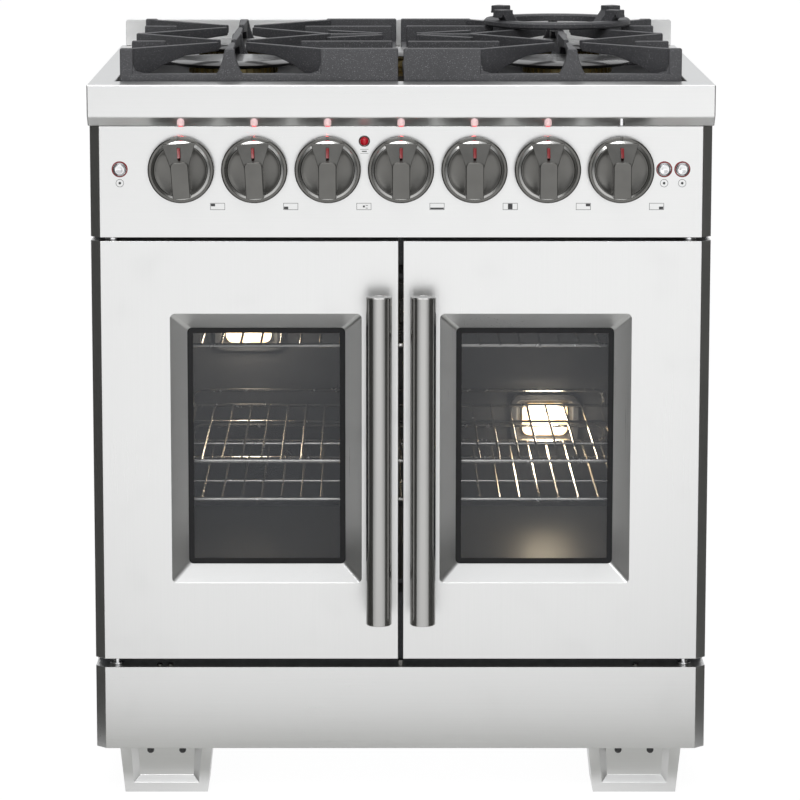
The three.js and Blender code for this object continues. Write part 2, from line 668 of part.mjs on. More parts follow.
// Burner: a brass head with a throat through the tray, and a loose cap on it.
function makeBurner(name, [x, y, radius]) {
  const capTop = GRATE_TOP - CAP_TOP_BELOW_GRATE;
  const capBottom = capTop - 8;
  const headTop = capBottom - GAP;
  const head = [
    [0, TRAY_TOP - 15],
    [BURNER_THROAT, TRAY_TOP - 15],
    [BURNER_THROAT, TRAY_TOP + GAP],
    [BURNER_RADIUS - 7, TRAY_TOP + GAP],
    [BURNER_RADIUS - 7, headTop - 9],
    [BURNER_RADIUS, headTop - 7],
    [BURNER_RADIUS, headTop],
    [0, headTop],
  ];
  const cap = [[0, capBottom], [radius - 4, capBottom], [radius, capTop - 4], [radius - 10, capTop], [0, capTop]];
  place(`${name}_burner_head`, turnedZ(head, x, y, 20), brass);
  place(`${name}_burner_cap`, turnedZ(cap, x, y, 20), castIron);
}

// A pan-support finger from its root on a rail towards a burner's centre. It arches over the
// cap, or stops short of it as a stub.
function finger(root, [x, y, capRadius], stub = false) {
  const dx = x - root[0];
  const dy = y - root[1];
  const distance = Math.hypot(dx, dy);
  const length = distance - (stub ? capRadius + STUB_CLEARANCE : FINGER_REACH);
  const arch = [
    [distance - capRadius - BURNER_CLEARANCE, GRATE_TOP - FINGER_TIP_HEIGHT - 3],
    [length, GRATE_TOP - FINGER_TIP_HEIGHT],
  ];
  const underside = stub ? [[length, GRATE_TOP - STUB_TIP_HEIGHT]] : arch;
  const profile = [[0, GRATE_BASE], [FINGER_WIDTH, GRATE_BASE], ...underside, [length, GRATE_TOP], [0, GRATE_TOP]];
  const shape = new THREE.Shape(profile.map(([a, b]) => new THREE.Vector2(a, b)));
  const geometry = new THREE.ExtrudeGeometry(shape, { depth: FINGER_WIDTH, bevelEnabled: false });
  geometry.translate(0, 0, -FINGER_WIDTH / 2);
  geometry.rotateX(Math.PI / 2);
  geometry.rotateZ(Math.atan2(dy, dx));
  geometry.translate(root[0], root[1], 0);
  return solid(geometry);
}

// A trapezoid upright on a rail, in front of the root of a finger.
function gratePost(x, y) {
  const foot = GRATE_BASE + RAIL_HEIGHT - 1;
  const waist = foot + (GRATE_TOP - foot) * 0.4;
  const outline = [
    [x - POST_BASE / 2, foot],
    [x + POST_BASE / 2, foot],
    [x + POST_BASE / 3.2, waist],
    [x + POST_TOP / 2, GRATE_TOP],
    [x - POST_TOP / 2, GRATE_TOP],
    [x - POST_BASE / 3.2, waist],
  ];
  return prismY(outline, y - RAIL_WIDTH / 2, y + RAIL_WIDTH / 2);
}

function makeGrate(name, side) {
  const near = GRATE_SPLIT / 2;
  const far = GRATE_OUTSIDE;
  const low = [GRATE_BASE, GRATE_BASE + RAIL_HEIGHT];
  const full = [GRATE_BASE, GRATE_TOP];
  const half = RAIL_WIDTH / 2;
  const across = (from, to) => [side * from, side * to];
  const rails = [GRATE_FRONT + half, GRATE_MIDDLE, GRATE_REAR - half];
  let grate = block(across(far - RAIL_WIDTH, far), [GRATE_FRONT, GRATE_REAR], low);
  const clear = CENTRE_CAP_RADIUS + BURNER_CLEARANCE;
  for (const y of [[GRATE_FRONT, GRATE_MIDDLE - clear], [GRATE_MIDDLE + clear, GRATE_REAR]]) {
    grate = grate.add(block(across(near, near + RAIL_WIDTH), y, low));
  }
  for (const y of rails) {
    const start = y === GRATE_MIDDLE ? near + GRATE_BLOCK - RAIL_WIDTH : near;
    grate = grate.add(block(across(start, far), [y - half, y + half], low));
  }
  for (const y of [rails[0], rails[2]]) {
    grate = grate.add(block(across(near, near + GRATE_BLOCK), [y - half, y + half], full));
  }
  const nodeX = near + GRATE_BLOCK - half;
  for (const y of [FRONT_BURNER, REAR_BURNER]) {
    const burner = [side * BURNER_X, y, CORNER_CAP_RADIUS];
    const railNear = y < GRATE_MIDDLE ? rails[0] : rails[1];
    const railFar = y < GRATE_MIDDLE ? rails[1] : rails[2];
    for (const x of [far - half, near + half]) {
      grate = grate.add(finger([side * x, y], burner, true));
    }
    const roots = [
      [BURNER_X, railNear],
      [BURNER_X, railFar],
      [far - half, railNear],
      [far - half, railFar],
      [nodeX, railNear],
      [nodeX, railFar],
    ];
    for (const [x, rootY] of roots) {
      grate = grate.add(finger([side * x, rootY], burner));
    }
  }
  for (const y of [GRATE_MIDDLE - 65, GRATE_MIDDLE, GRATE_MIDDLE + 65]) {
    grate = grate.add(finger([side * nodeX, y], BURNERS.centre));
  }
  for (const y of rails) {
    grate = grate.add(gratePost(side * BURNER_X, y));
  }
  grate = grate.add(block(across(nodeX - half, nodeX + half), [rails[0], rails[2]], low));
  for (const x of [near, far - RAIL_WIDTH]) {
    for (const y of [GRATE_FRONT, GRATE_REAR - RAIL_WIDTH]) {
      grate = grate.add(block(across(x, x + RAIL_WIDTH), [y, y + RAIL_WIDTH], [TRAY_TOP + GAP, GRATE_BASE + 1]));
    }
  }
  place(name, grate, castIron);
}

// Wok ring: a flat cast ring with four prongs that lean outwards to a lip.
function makeWokRing() {
  const bottom = GRATE_TOP + GAP;
  const top = bottom + WOK_HEIGHT;
  const crown = top + PRONG_RISE;
  const inner = WOK_RADIUS - WOK_WIDTH;
  const profile = [[inner, bottom], [WOK_RADIUS, bottom], [WOK_RADIUS, top], [inner, top], [inner, bottom]];
  let ring = turnedZ(profile, 0, 0, 32);
  const side = [
    [inner - 14, bottom],
    [inner + 4, bottom],
    [WOK_RADIUS - 8, crown - 7],
    [WOK_RADIUS - 8, crown - 10],
    [WOK_RADIUS, crown - 10],
    [WOK_RADIUS, crown],
    [inner, crown],
  ];
  for (const angle of [PRONG_ANGLE, Math.PI - PRONG_ANGLE, Math.PI + PRONG_ANGLE, -PRONG_ANGLE]) {
    const prong = new THREE.Shape(side.map(([r, z]) => new THREE.Vector2(r, z)));
    const geometry = new THREE.ExtrudeGeometry(prong, { depth: PRONG_THICKNESS, bevelEnabled: false });
    geometry.translate(0, 0, -PRONG_THICKNESS / 2);
    geometry.rotateX(Math.PI / 2);
    geometry.rotateZ(angle);
    ring = ring.add(solid(geometry));
  }
  place('wok_ring', ring.translate([BURNER_X, REAR_BURNER, 0]), castIron);
}

makeBasePan();
makeSidePanels();
makeRearPanel();
makeInlet(GAS);
makeInlet(POWER);
makeCooktop();
makeBackRiser();
makeControlPanel();
makeKickPanel();
makeIndicator();
KNOBS.forEach((_, index) => makeKnob(index));
makeButtons();
for (const [name, side] of [['left', -1], ['right', 1]]) {
  makeDoorSkin(`${name}_door_skin`, side);
  makeDoorGlass(`${name}_door_glass`, side);
  makeDoorInner(`${name}_door_inner_panel`, side);
  makeHandle(`${name}_door_handle`, side);
  makeFrontLeg(`front_${name}_leg`, side);
  makeRearLeg(`rear_${name}_leg`, side);
  makeGrate(`${name}_grate`, side);
}
makeOvenLiner();
makeFaceFrame();
makeGasket();
makeRack('lower_rack', 0);
makeRack('middle_rack', 1);
makeRack('upper_rack', 4);
makeLampLens();
for (const [name, position] of Object.entries(BURNERS)) {
  makeBurner(name, position);
}
makeWokRing();

export default range;
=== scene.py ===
import json
import math

import bmesh
import bpy
from mathutils import Matrix, Vector


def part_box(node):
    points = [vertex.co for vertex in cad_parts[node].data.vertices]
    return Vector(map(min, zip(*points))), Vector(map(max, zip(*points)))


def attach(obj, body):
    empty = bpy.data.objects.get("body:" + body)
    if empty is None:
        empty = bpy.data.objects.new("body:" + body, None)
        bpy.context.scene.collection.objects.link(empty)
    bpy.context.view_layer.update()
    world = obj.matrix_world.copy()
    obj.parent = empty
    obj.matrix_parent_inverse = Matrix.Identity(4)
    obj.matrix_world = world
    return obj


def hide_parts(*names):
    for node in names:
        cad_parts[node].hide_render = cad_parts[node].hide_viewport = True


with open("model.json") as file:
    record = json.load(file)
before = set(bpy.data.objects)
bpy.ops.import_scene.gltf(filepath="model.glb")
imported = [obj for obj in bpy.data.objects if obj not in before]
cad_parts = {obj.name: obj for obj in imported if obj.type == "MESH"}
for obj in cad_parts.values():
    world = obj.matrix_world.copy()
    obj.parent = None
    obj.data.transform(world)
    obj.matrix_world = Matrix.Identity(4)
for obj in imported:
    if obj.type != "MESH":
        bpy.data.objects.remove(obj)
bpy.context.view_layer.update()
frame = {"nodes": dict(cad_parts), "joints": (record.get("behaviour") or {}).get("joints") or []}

# Camera and studio. A long lens about 4.7 m in front looks slightly down on the range.
# The world is plain white behind it; broad soft lights stand in front and above.
cooktop_low, cooktop_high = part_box("cooktop")
CAMERA_DISTANCE = 4.65
CAMERA_HEIGHT = 1.278
CAMERA_SIDE = -0.028
CAMERA_PITCH = math.radians(9.5)
LENS = 173.0
bpy.ops.object.select_all(action="DESELECT")
bpy.ops.object.camera_add(
    location=(CAMERA_SIDE, cooktop_low.y - CAMERA_DISTANCE, CAMERA_HEIGHT),
    rotation=(math.pi / 2 - CAMERA_PITCH, 0, 0),
)
camera = bpy.context.object
camera.data.lens = LENS
camera.data.shift_x = 0.0275
bpy.context.scene.camera = camera
bpy.context.scene.view_settings.view_transform = "Standard"


def area_light(name, place, aim, size, power):
    direction = Vector(aim) - Vector(place)
    bpy.ops.object.light_add(type="AREA", location=place)
    light = bpy.context.object
    light.name = name
    light.rotation_euler = direction.to_track_quat("-Z", "Y").to_euler()
    light.data.shape = "RECTANGLE"
    light.data.size, light.data.size_y = size
    light.data.energy = power
    return light


area_light("key_light", (-0.6, -3.0, 3.4), (0, 0, 0.5), (2.2, 1.2), 42)
area_light("fill_light", (1.6, -3.4, 1.6), (0, 0, 0.5), (1.6, 2.0), 9)
area_light("top_light", (0, 0.2, 3.2), (0, 0.1, 0.9), (2.4, 2.0), 20)


class Value:
    """A socket that adds Math nodes when it is used in arithmetic."""

    def __init__(self, tree, socket):
        self.tree = tree
        self.socket = socket

    def math(self, operation, *values):
        return self.tree.node("ShaderNodeMath", {"operation": operation}, *values)

    def __add__(self, other):
        return self.math("ADD", self, other)

    def __radd__(self, other):
        return self.math("ADD", other, self)

    def __sub__(self, other):
        return self.math("SUBTRACT", self, other)

    def __rsub__(self, other):
        return self.math("SUBTRACT", other, self)

    def __mul__(self, other):
        return self.math("MULTIPLY", self, other)

    def __rmul__(self, other):
        return self.math("MULTIPLY", other, self)

    def __truediv__(self, other):
        return self.math("DIVIDE", self, other)

    def __abs__(self):
        return self.math("ABSOLUTE", self)

    def above(self, limit, width):
        """0 below limit, 1 above limit + width."""
        settings = {"interpolation_type": "SMOOTHSTEP"}
        return self.tree.node("ShaderNodeMapRange", settings, self, limit, limit + width)


class Nodes:
    """Adds nodes to one tree; a socket takes a number, a colour or a Value."""

    def __init__(self, tree):
        self.tree = tree

    def node(self, kind, settings=None, *values, output=0, **named):
        made = self.tree.nodes.new(kind)
        for key, value in (settings or {}).items():
            if key == "stops":
                self.set_stops(made.color_ramp, value)
            else:
                setattr(made, key, value)
        for socket, value in [*enumerate(values), *((k.replace("_", " "), v) for k, v in named.items())]:
            self.plug(made.inputs[socket], value)
        return Value(self, made.outputs[output])

    def set_stops(self, ramp, stops):
        """Grey stops; the first two are the ramp's two ends."""
        for number, (position, shade) in enumerate(stops):
            stop = ramp.elements[number] if number < 2 else ramp.elements.new(position)
            stop.position = position
            stop.color = (*shade, 1) if isinstance(shade, tuple) else (shade, shade, shade, 1)

    def plug(self, socket, value):
        if isinstance(value, Value):
            self.tree.links.new(value.socket, socket)
        elif value is not None:
            socket.default_value = value

    def ramp(self, factor, stops):
        return self.node("ShaderNodeValToRGB", {"stops": stops}, factor)

    def mix(self, factor, first, second, blend="MIX"):
        """Mixes two colours."""
        made = self.tree.nodes.new("ShaderNodeMix")
        made.data_type = "RGBA"
        made.blend_type = blend
        self.plug(made.inputs[0], factor)
        for slot, colour in ((6, first), (7, second)):
            self.plug(made.inputs[slot], (*colour, 1) if isinstance(colour, tuple) else colour)
        return Value(self, made.outputs[2])

    def for_camera(self, seen, otherwise):
        """One shader where the camera looks straight at it and another in reflections."""
        ray_kind = self.node("ShaderNodeLightPath")
        return self.node("ShaderNodeMixShader", None, ray_kind, otherwise, seen)

    def finish_with(self, shader):
        """Makes a shader the surface of this tree."""
        end = next(node for node in self.tree.nodes if node.type.startswith("OUTPUT"))
        self.plug(end.inputs["Surface"], shader)


world = bpy.data.worlds.new("studio_world")
bpy.context.scene.world = world
world.use_nodes = True
sky = Nodes(world.node_tree)
BACKDROP_STRENGTH = 1.06
ROOM_STRENGTH = 0.85
ROOM_AHEAD = (0.95, 0.96, 0.97)
ROOM_SIDES = (0.10, 0.105, 0.10)
backdrop = sky.node("ShaderNodeBackground", None, (1, 1, 1, 1), BACKDROP_STRENGTH)
sideways = abs(sky.node("ShaderNodeSeparateXYZ", None, sky.node("ShaderNodeTexCoord")))
room_colour = sky.ramp(sideways, ((0.30, ROOM_AHEAD), (0.80, ROOM_SIDES)))
room = sky.node("ShaderNodeBackground", None, room_colour, ROOM_STRENGTH)
sky.finish_with(sky.for_camera(backdrop, room))


# Floor: a wide white sheet under the feet that keeps only a soft shadow. What the steel
# reflects of it is lit further out in front and darker towards both sides.
class Finish(Nodes):
    """One node material with a Principled shader; constants go straight onto its sockets."""

    def __init__(self, name, colour, **constants):
        self.material = bpy.data.materials.new(name)
        self.material.use_nodes = True
        super().__init__(self.material.node_tree)
        self.shader = self.tree.nodes["Principled BSDF"]
        self.shader.inputs["Base Color"].default_value = (*colour, 1)
        for socket, value in constants.items():
            self.shader.inputs[socket.replace("_", " ")].default_value = value

    def feed(self, **sockets):
        for socket, value in sockets.items():
            self.plug(self.shader.inputs[socket.replace("_", " ")], value)
        return self

    def place(self, stretch=(1, 1, 1)):
        """Object coordinates, stretched along the axes."""
        where = self.node("ShaderNodeTexCoord", output=3)
        return self.node("ShaderNodeMapping", None, where, Scale=stretch)

    def noise(self, scale, detail=3.0, stretch=(1, 1, 1), roughness=0.5):
        where = self.place(stretch)
        return self.node("ShaderNodeTexNoise", None, where, Scale=scale, Detail=detail, Roughness=roughness)

    def bump(self, height, strength, distance):
        return self.node("ShaderNodeBump", None, Strength=strength, Distance=distance, Height=height)


bpy.ops.mesh.primitive_plane_add(size=60, location=(0, 0, -0.0005))
floor = bpy.context.object
floor.name = "studio_floor"
FLOOR_GLOW = 1.15
FLOOR_SEEN = 1.20
FLOOR_SEEN_SHARE = 0.80
GLOW_REACH = 6
GLOW_AHEAD = (
    (0.04, 0.58), (0.95, 0.91), (0.10, 0.50), (0.16, 0.53), (0.26, 0.60), (0.48, 0.70), (0.72, 0.84),
)
GLOW_SIDEWAYS = ((0.22, 1.0), (1.0, 0.10))
paint = Finish("pale_floor", (0.40, 0.40, 0.40), Roughness=0.9, Specular_IOR_Level=0.1)
floor_place = paint.node("ShaderNodeTexCoord", output=3)
floor_x = paint.node("ShaderNodeSeparateXYZ", None, floor_place)
floor_y = paint.node("ShaderNodeSeparateXYZ", None, floor_place, output=1)
ahead = paint.ramp(floor_y * (-1 / GLOW_REACH), GLOW_AHEAD)
sides = paint.ramp(abs(floor_x) / (0.5 - floor_y), GLOW_SIDEWAYS)
sheet = Value(paint, paint.shader.outputs[0])
glow = paint.node("ShaderNodeEmission", None, paint.mix(1.0, ahead, sides, "MULTIPLY"), FLOOR_GLOW)
mirrored = paint.node("ShaderNodeAddShader", None, sheet, glow)
bright = paint.node("ShaderNodeEmission", None, None, FLOOR_SEEN)
seen_floor = paint.node("ShaderNodeMixShader", None, FLOOR_SEEN_SHARE, sheet, bright)
paint.finish_with(paint.for_camera(seen_floor, mirrored))
floor.data.materials.append(paint.material)

# Cards that only reflections see: dark ones beside both front corners make the chamfered
# edges of the sheet metal read dark, and a grey one low in front tones the cooktop's lip.
UPRIGHT = (0, math.pi / 2, 0)
CARDS = {
    "left_card": ((-0.60, -0.44, 0.55), UPRIGHT, (1.3, 0.66, 1), 0.10),
    "right_card": ((0.60, -0.44, 0.55), UPRIGHT, (1.3, 0.66, 1), 0.13),
    "low_card": ((0, -0.46, 0.004), (0, 0, 0), (1.1, 0.24, 1), 0.44),
}
for name, (spot, turn, size, shade) in CARDS.items():
    bpy.ops.mesh.primitive_plane_add(size=1, location=spot, rotation=turn)
    card = bpy.context.object
    card.name = name
    card.scale = size
    for kind in ("camera", "diffuse", "shadow", "transmission"):
        setattr(card, f"visible_{kind}", False)
    card_paint = Finish(f"{name}_paint", (shade, shade, shade * 0.94), Specular_IOR_Level=0.1)
    card.data.materials.append(card_paint.material)


# Outer casing: brushed side panels, zinc-coated base pan and rear panel, from the packed
# model. The sheets are folded and spot welded; only their finish is added here.
def brushed(name, colour, grain, roughness=0.30, marks=0.05):
    """Brushed metal: fine streaks along grain, faint large patches and handling marks."""
    finish = Finish(name, colour, Metallic=1.0)
    streaks = finish.noise(1.0, 4.0, grain, 0.65)
    patches = finish.noise(3.0, 2.0)
    smudges = finish.noise(14.0, 3.0).above(0.56, 0.2)
    dark = tuple(c * 0.90 for c in colour)
    shade = finish.mix(streaks * 0.6 + patches * 0.4, dark, colour)
    finish.feed(
        Base_Color=shade,
        Roughness=streaks * 0.10 + patches * 0.08 + smudges * marks + (roughness - 0.09),
        Normal=finish.bump(streaks, 0.10, 0.0004),
    )
    return finish.material


ALONG_X = (6, 900, 900)
ALONG_Z = (900, 900, 6)
ALONG_Y = (900, 6, 900)
STEEL = (0.79, 0.79, 0.785)
steel_across = brushed("brushed_steel_across", STEEL, ALONG_X)
steel_upright = brushed("brushed_steel_upright", STEEL, ALONG_Z)
steel_side = brushed("brushed_steel_side", (0.74, 0.74, 0.735), ALONG_Y, 0.36)


def zinc_coat():
    """Galvanised sheet: crystalline spangle with a dull white bloom."""
    finish = Finish("zinc_coat", (0.60, 0.62, 0.63), Metallic=0.9)
    where = finish.place()
    spangle = finish.node("ShaderNodeTexVoronoi", None, where, Scale=90.0)
    bloom = finish.noise(9.0, 4.0)
    finish.feed(
        Base_Color=finish.mix(spangle * 0.8 + bloom * 0.3, (0.50, 0.52, 0.53), (0.70, 0.72, 0.73)),
        Roughness=spangle * 0.2 + bloom * 0.15 + 0.32,
        Normal=finish.bump(spangle, 0.08, 0.0005),
    )
    return finish.material


zinc = zinc_coat()


def finish_node(name, material):
    """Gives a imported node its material."""
    node = frame["nodes"][name]
    node.data.materials.clear()
    node.data.materials.append(material)


for name in ("left_side_panel", "right_side_panel"):
    finish_node(name, steel_side)
for name in ("base_pan", "rear_panel", "rear_left_leg", "rear_right_leg"):
    finish_node(name, zinc)


# Cooktop: one deep-drawn stainless pressing with a chamfer under its front lip and a
# recess for the burners. It drops over the casing and is screwed from inside.
def cube(name, low, high):
    bpy.ops.object.select_all(action="DESELECT")
    middle = [(a + b) / 2 for a, b in zip(low, high)]
    bpy.ops.mesh.primitive_cube_add(size=1, location=middle)
    piece = bpy.context.object
    piece.name = piece.data.name = name
    piece.scale = [b - a for a, b in zip(low, high)]
    bpy.ops.object.transform_apply(location=True, rotation=True, scale=True)
    return piece


def choose(piece):
    """Makes one piece the active one and the only one selected."""
    bpy.ops.object.select_all(action="DESELECT")
    bpy.context.view_layer.objects.active = piece
    piece.select_set(True)


def edit(piece, kind, wanted):
    """Enters edit mode with only the faces, edges or corners selected that pass a test."""
    choose(piece)
    bpy.ops.object.mode_set(mode="EDIT")
    bpy.ops.mesh.select_mode(type=kind)
    bpy.ops.mesh.select_all(action="DESELECT")
    mesh = bmesh.from_edit_mesh(piece.data)
    if kind == "FACE":
        for face in mesh.faces:
            face.select_set(wanted(face.calc_center_median(), face.normal))
    elif kind == "EDGE":
        for edge in mesh.edges:
            ends = [v.co for v in edge.verts]
            edge.select_set(wanted((ends[0] + ends[1]) / 2, (ends[1] - ends[0]).normalized()))
    else:
        for vertex in mesh.verts:
            vertex.select_set(wanted(vertex.co, vertex.normal))
    mesh.select_flush_mode()
    bmesh.update_edit_mesh(piece.data)


def leave():
    bpy.ops.object.mode_set(mode="OBJECT")


def cut_edges(piece, width, segments, wanted):
    """Chamfers or rounds the edges whose middle and run pass a test."""
    edit(piece, "EDGE", wanted)
    bpy.ops.mesh.bevel(offset=width, segments=segments, affect="EDGES")
    leave()


def split_at(piece, point, normal):
    """Cuts new edges all round a piece where a plane crosses it."""
    edit(piece, "FACE", lambda place, facing: True)
    bpy.ops.mesh.bisect(plane_co=point, plane_no=normal)
    leave()


def apply_modifier(piece, kind, **settings):
    choose(piece)
    modifier = piece.modifiers.new(kind.lower(), kind)
    for key, value in settings.items():
        setattr(modifier, key, value)
    bpy.ops.object.modifier_apply(modifier=modifier.name)


def bevel(piece, width, segments=2, angle=35):
    """Rounds every edge sharper than an angle."""
    limit = {"limit_method": "ANGLE", "angle_limit": math.radians(angle)}
    apply_modifier(piece, "BEVEL", width=width, segments=segments, **limit)


def soften(piece, width, segments=2, angle=35):
    """Rounds the sharp edges slightly and shades the rest smooth."""
    bevel(piece, width, segments, angle)
    smooth(piece, angle)


def smooth(piece, angle=35):
    """Shades curved skin smooth and keeps the large flat faces flat."""
    choose(piece)
    bpy.ops.object.shade_smooth_by_angle(angle=math.radians(angle))
    apply_modifier(piece, "WEIGHTED_NORMAL", keep_sharp=True)


def near(a, b, within=1e-4):
    return abs(a - b) < within


def fit(piece, body, slot, material, *replaced):
    """Paints a finished piece and says which body it rides on and what it stands for."""
    piece.data.materials.clear()
    piece.data.materials.append(material)
    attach(piece, body)
    if replaced:
        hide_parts(*replaced)
    return piece


RIM_SIDE = 0.031
RIM_FRONT = 0.054
RIM_REAR = 0.042
TRAY_DEPTH = 0.013
LIP_CHAMFER = 0.012
low, high = cooktop_low, cooktop_high
rim_top = high.z
cooktop = cube("cooktop_pressing", low, high)
cut_edges(cooktop, LIP_CHAMFER, 1, lambda place, run: near(place.y, low.y) and near(place.z, low.z))
tray_low = Vector((low.x + RIM_SIDE, low.y + RIM_FRONT, rim_top - TRAY_DEPTH))
tray_high = Vector((high.x - RIM_SIDE, high.y - RIM_REAR, rim_top))
split_at(cooktop, tray_low, (1, 0, 0))
split_at(cooktop, tray_low, (0, 1, 0))
split_at(cooktop, tray_high, (1, 0, 0))
split_at(cooktop, tray_high, (0, 1, 0))
tray_y = (tray_low.y + tray_high.y) / 2
edit(cooktop, "FACE", lambda place, facing: facing.z > 0.9 and abs(place.x) < 0.3
     and near(place.y, tray_y, 0.05))
bpy.ops.mesh.extrude_region_move(TRANSFORM_OT_translate={"value": (0, 0, -TRAY_DEPTH)})
bpy.ops.transform.resize(value=(0.992, 0.992, 1))
leave()
soften(cooktop, 0.0016, 3)
fit(cooktop, "root", "brushed_steel", steel_across, "cooktop")


def black_vitreous():
    """Glossy black enamel with orange peel and a little burnt-on haze."""
    finish = Finish("black_vitreous_enamel", (0.022, 0.022, 0.024), Coat_Roughness=0.08)
    peel = finish.noise(260.0, 2.0)
    haze = finish.noise(18.0, 5.0)
    finish.feed(
        Base_Color=finish.mix(haze, (0.016, 0.016, 0.018), (0.045, 0.043, 0.042)),
        Roughness=haze * 0.25 + 0.18,
        Coat_Weight=haze * 0.3 + 0.3,
        Normal=finish.bump(peel, 0.06, 0.0004),
    )
    return finish.material


black_enamel = black_vitreous()


def tray_enamel_finish():
    """Satin black enamel, dulled by heat and wiping."""
    finish = Finish("tray_satin_enamel", (0.012, 0.012, 0.013), Specular_IOR_Level=0.18)
    wipe = finish.noise(1.0, 4.0, (60, 8, 60))
    finish.feed(
        Base_Color=finish.mix(wipe, (0.008, 0.008, 0.009), (0.022, 0.022, 0.023)),
        Roughness=wipe * 0.2 + 0.42,
        Normal=finish.bump(finish.noise(240.0, 2.0), 0.05, 0.0004),
    )
    return finish.material


tray_enamel = tray_enamel_finish()
liner_low = (tray_low.x + 0.004, tray_low.y + 0.004, tray_low.z + 0.0001)
liner_high = (tray_high.x - 0.004, tray_high.y - 0.004, tray_low.z + 0.0008)
tray = cube("burner_tray_enamel", liner_low, liner_high)
cut_edges(tray, 0.012, 6, lambda place, run: abs(run.z) > 0.9)
fit(tray, "root", "black_enamel", tray_enamel)

# Back riser: a low folded upstand along the rear edge with rounded upper corners.
low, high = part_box("back_riser")
riser = cube("back_riser_sheet", low, high)
cut_edges(riser, 0.004, 5, lambda place, run: near(place.z, high.z) and abs(run.y) > 0.9)
soften(riser, 0.0010, 2)
# lighter copy of the brushed steel, painted brighter so the riser reads as lit from above
riser_steel_painted_bright = brushed("riser_steel_painted_light", (0.95, 0.95, 0.945), ALONG_X, 0.58)
fit(riser, "root", "brushed_steel", riser_steel_painted_bright, "back_riser")


# Burners: a machined brass flame ring with radial ports, under a loose enamelled cap,
# and a white ceramic igniter beside each. The head drops into its throat in the tray.
def lathe(name, profile, centre, axis="Z", steps=64):
    """Turns a profile of (radius, height) points; it may start and end on the axis."""
    bpy.ops.object.select_all(action="DESELECT")
    bpy.ops.mesh.primitive_circle_add(vertices=len(profile), radius=1, fill_type="NOTHING")
    piece = bpy.context.object
    piece.name = piece.data.name = name
    on_axis = profile[0][0] == 0 and profile[-1][0] == 0
    for vertex, (radius, height) in zip(piece.data.vertices, profile):
        vertex.co = (radius, height, 0) if axis == "Y" else (radius, 0, height)
    bpy.ops.object.mode_set(mode="EDIT")
    if on_axis:
        bpy.ops.mesh.select_mode(type="EDGE")
        bpy.ops.mesh.select_all(action="DESELECT")
        mesh = bmesh.from_edit_mesh(piece.data)
        for edge in mesh.edges:
            edge.select_set(all(abs(v.co.x) < 1e-7 for v in edge.verts))
        bmesh.update_edit_mesh(piece.data)
        bpy.ops.mesh.delete(type="EDGE")
    bpy.ops.mesh.select_all(action="SELECT")
    turn = (0, 1, 0) if axis == "Y" else (0, 0, 1)
    bpy.ops.mesh.spin(steps=steps, angle=2 * math.pi, center=(0, 0, 0), axis=turn)
    bpy.ops.mesh.select_all(action="SELECT")
    bpy.ops.mesh.remove_doubles(threshold=1e-6)
    bpy.ops.mesh.dissolve_degenerate(threshold=1e-7)
    bpy.ops.mesh.select_all(action="SELECT")
    bpy.ops.mesh.normals_make_consistent(inside=False)
    bpy.ops.object.mode_set(mode="OBJECT")
    piece.data.transform(Matrix.Translation(centre))
    return piece


def copy_of(piece, name, shift):
    twin = piece.copy()
    twin.data = piece.data.copy()
    twin.name = twin.data.name = name
    bpy.context.scene.collection.objects.link(twin)
    twin.data.transform(Matrix.Translation(shift))
    return twin


def join(name, parts):
    bpy.ops.object.select_all(action="DESELECT")
    for part in parts:
        part.select_set(True)
    bpy.context.view_layer.objects.active = parts[0]
    bpy.ops.object.join()
    parts[0].name = parts[0].data.name = name
    return parts[0]


def brass_ring():
    """Burner brass: turned, heat tinted towards brown in patches."""
    finish = Finish("burner_brass", (0.50, 0.40, 0.18), Metallic=1.0)
    heat = finish.noise(30.0, 4.0)
    rings = finish.noise(1.0, 2.0, (40, 40, 1400))
    finish.feed(
        Base_Color=finish.mix(heat, (0.30, 0.22, 0.09), (0.62, 0.52, 0.27)),
        Roughness=heat * 0.25 + rings * 0.1 + 0.24,
        Normal=finish.bump(rings, 0.08, 0.0003),
    )
    return finish.material


def ceramic_white():
    finish = Finish("igniter_ceramic", (0.86, 0.85, 0.82))
    soot = finish.noise(300.0, 3.0)
    finish.feed(
        Base_Color=finish.mix(soot.above(0.5, 0.2), (0.88, 0.87, 0.84), (0.60, 0.57, 0.52)),
        Roughness=soot * 0.2 + 0.25,
    )
    return finish.material


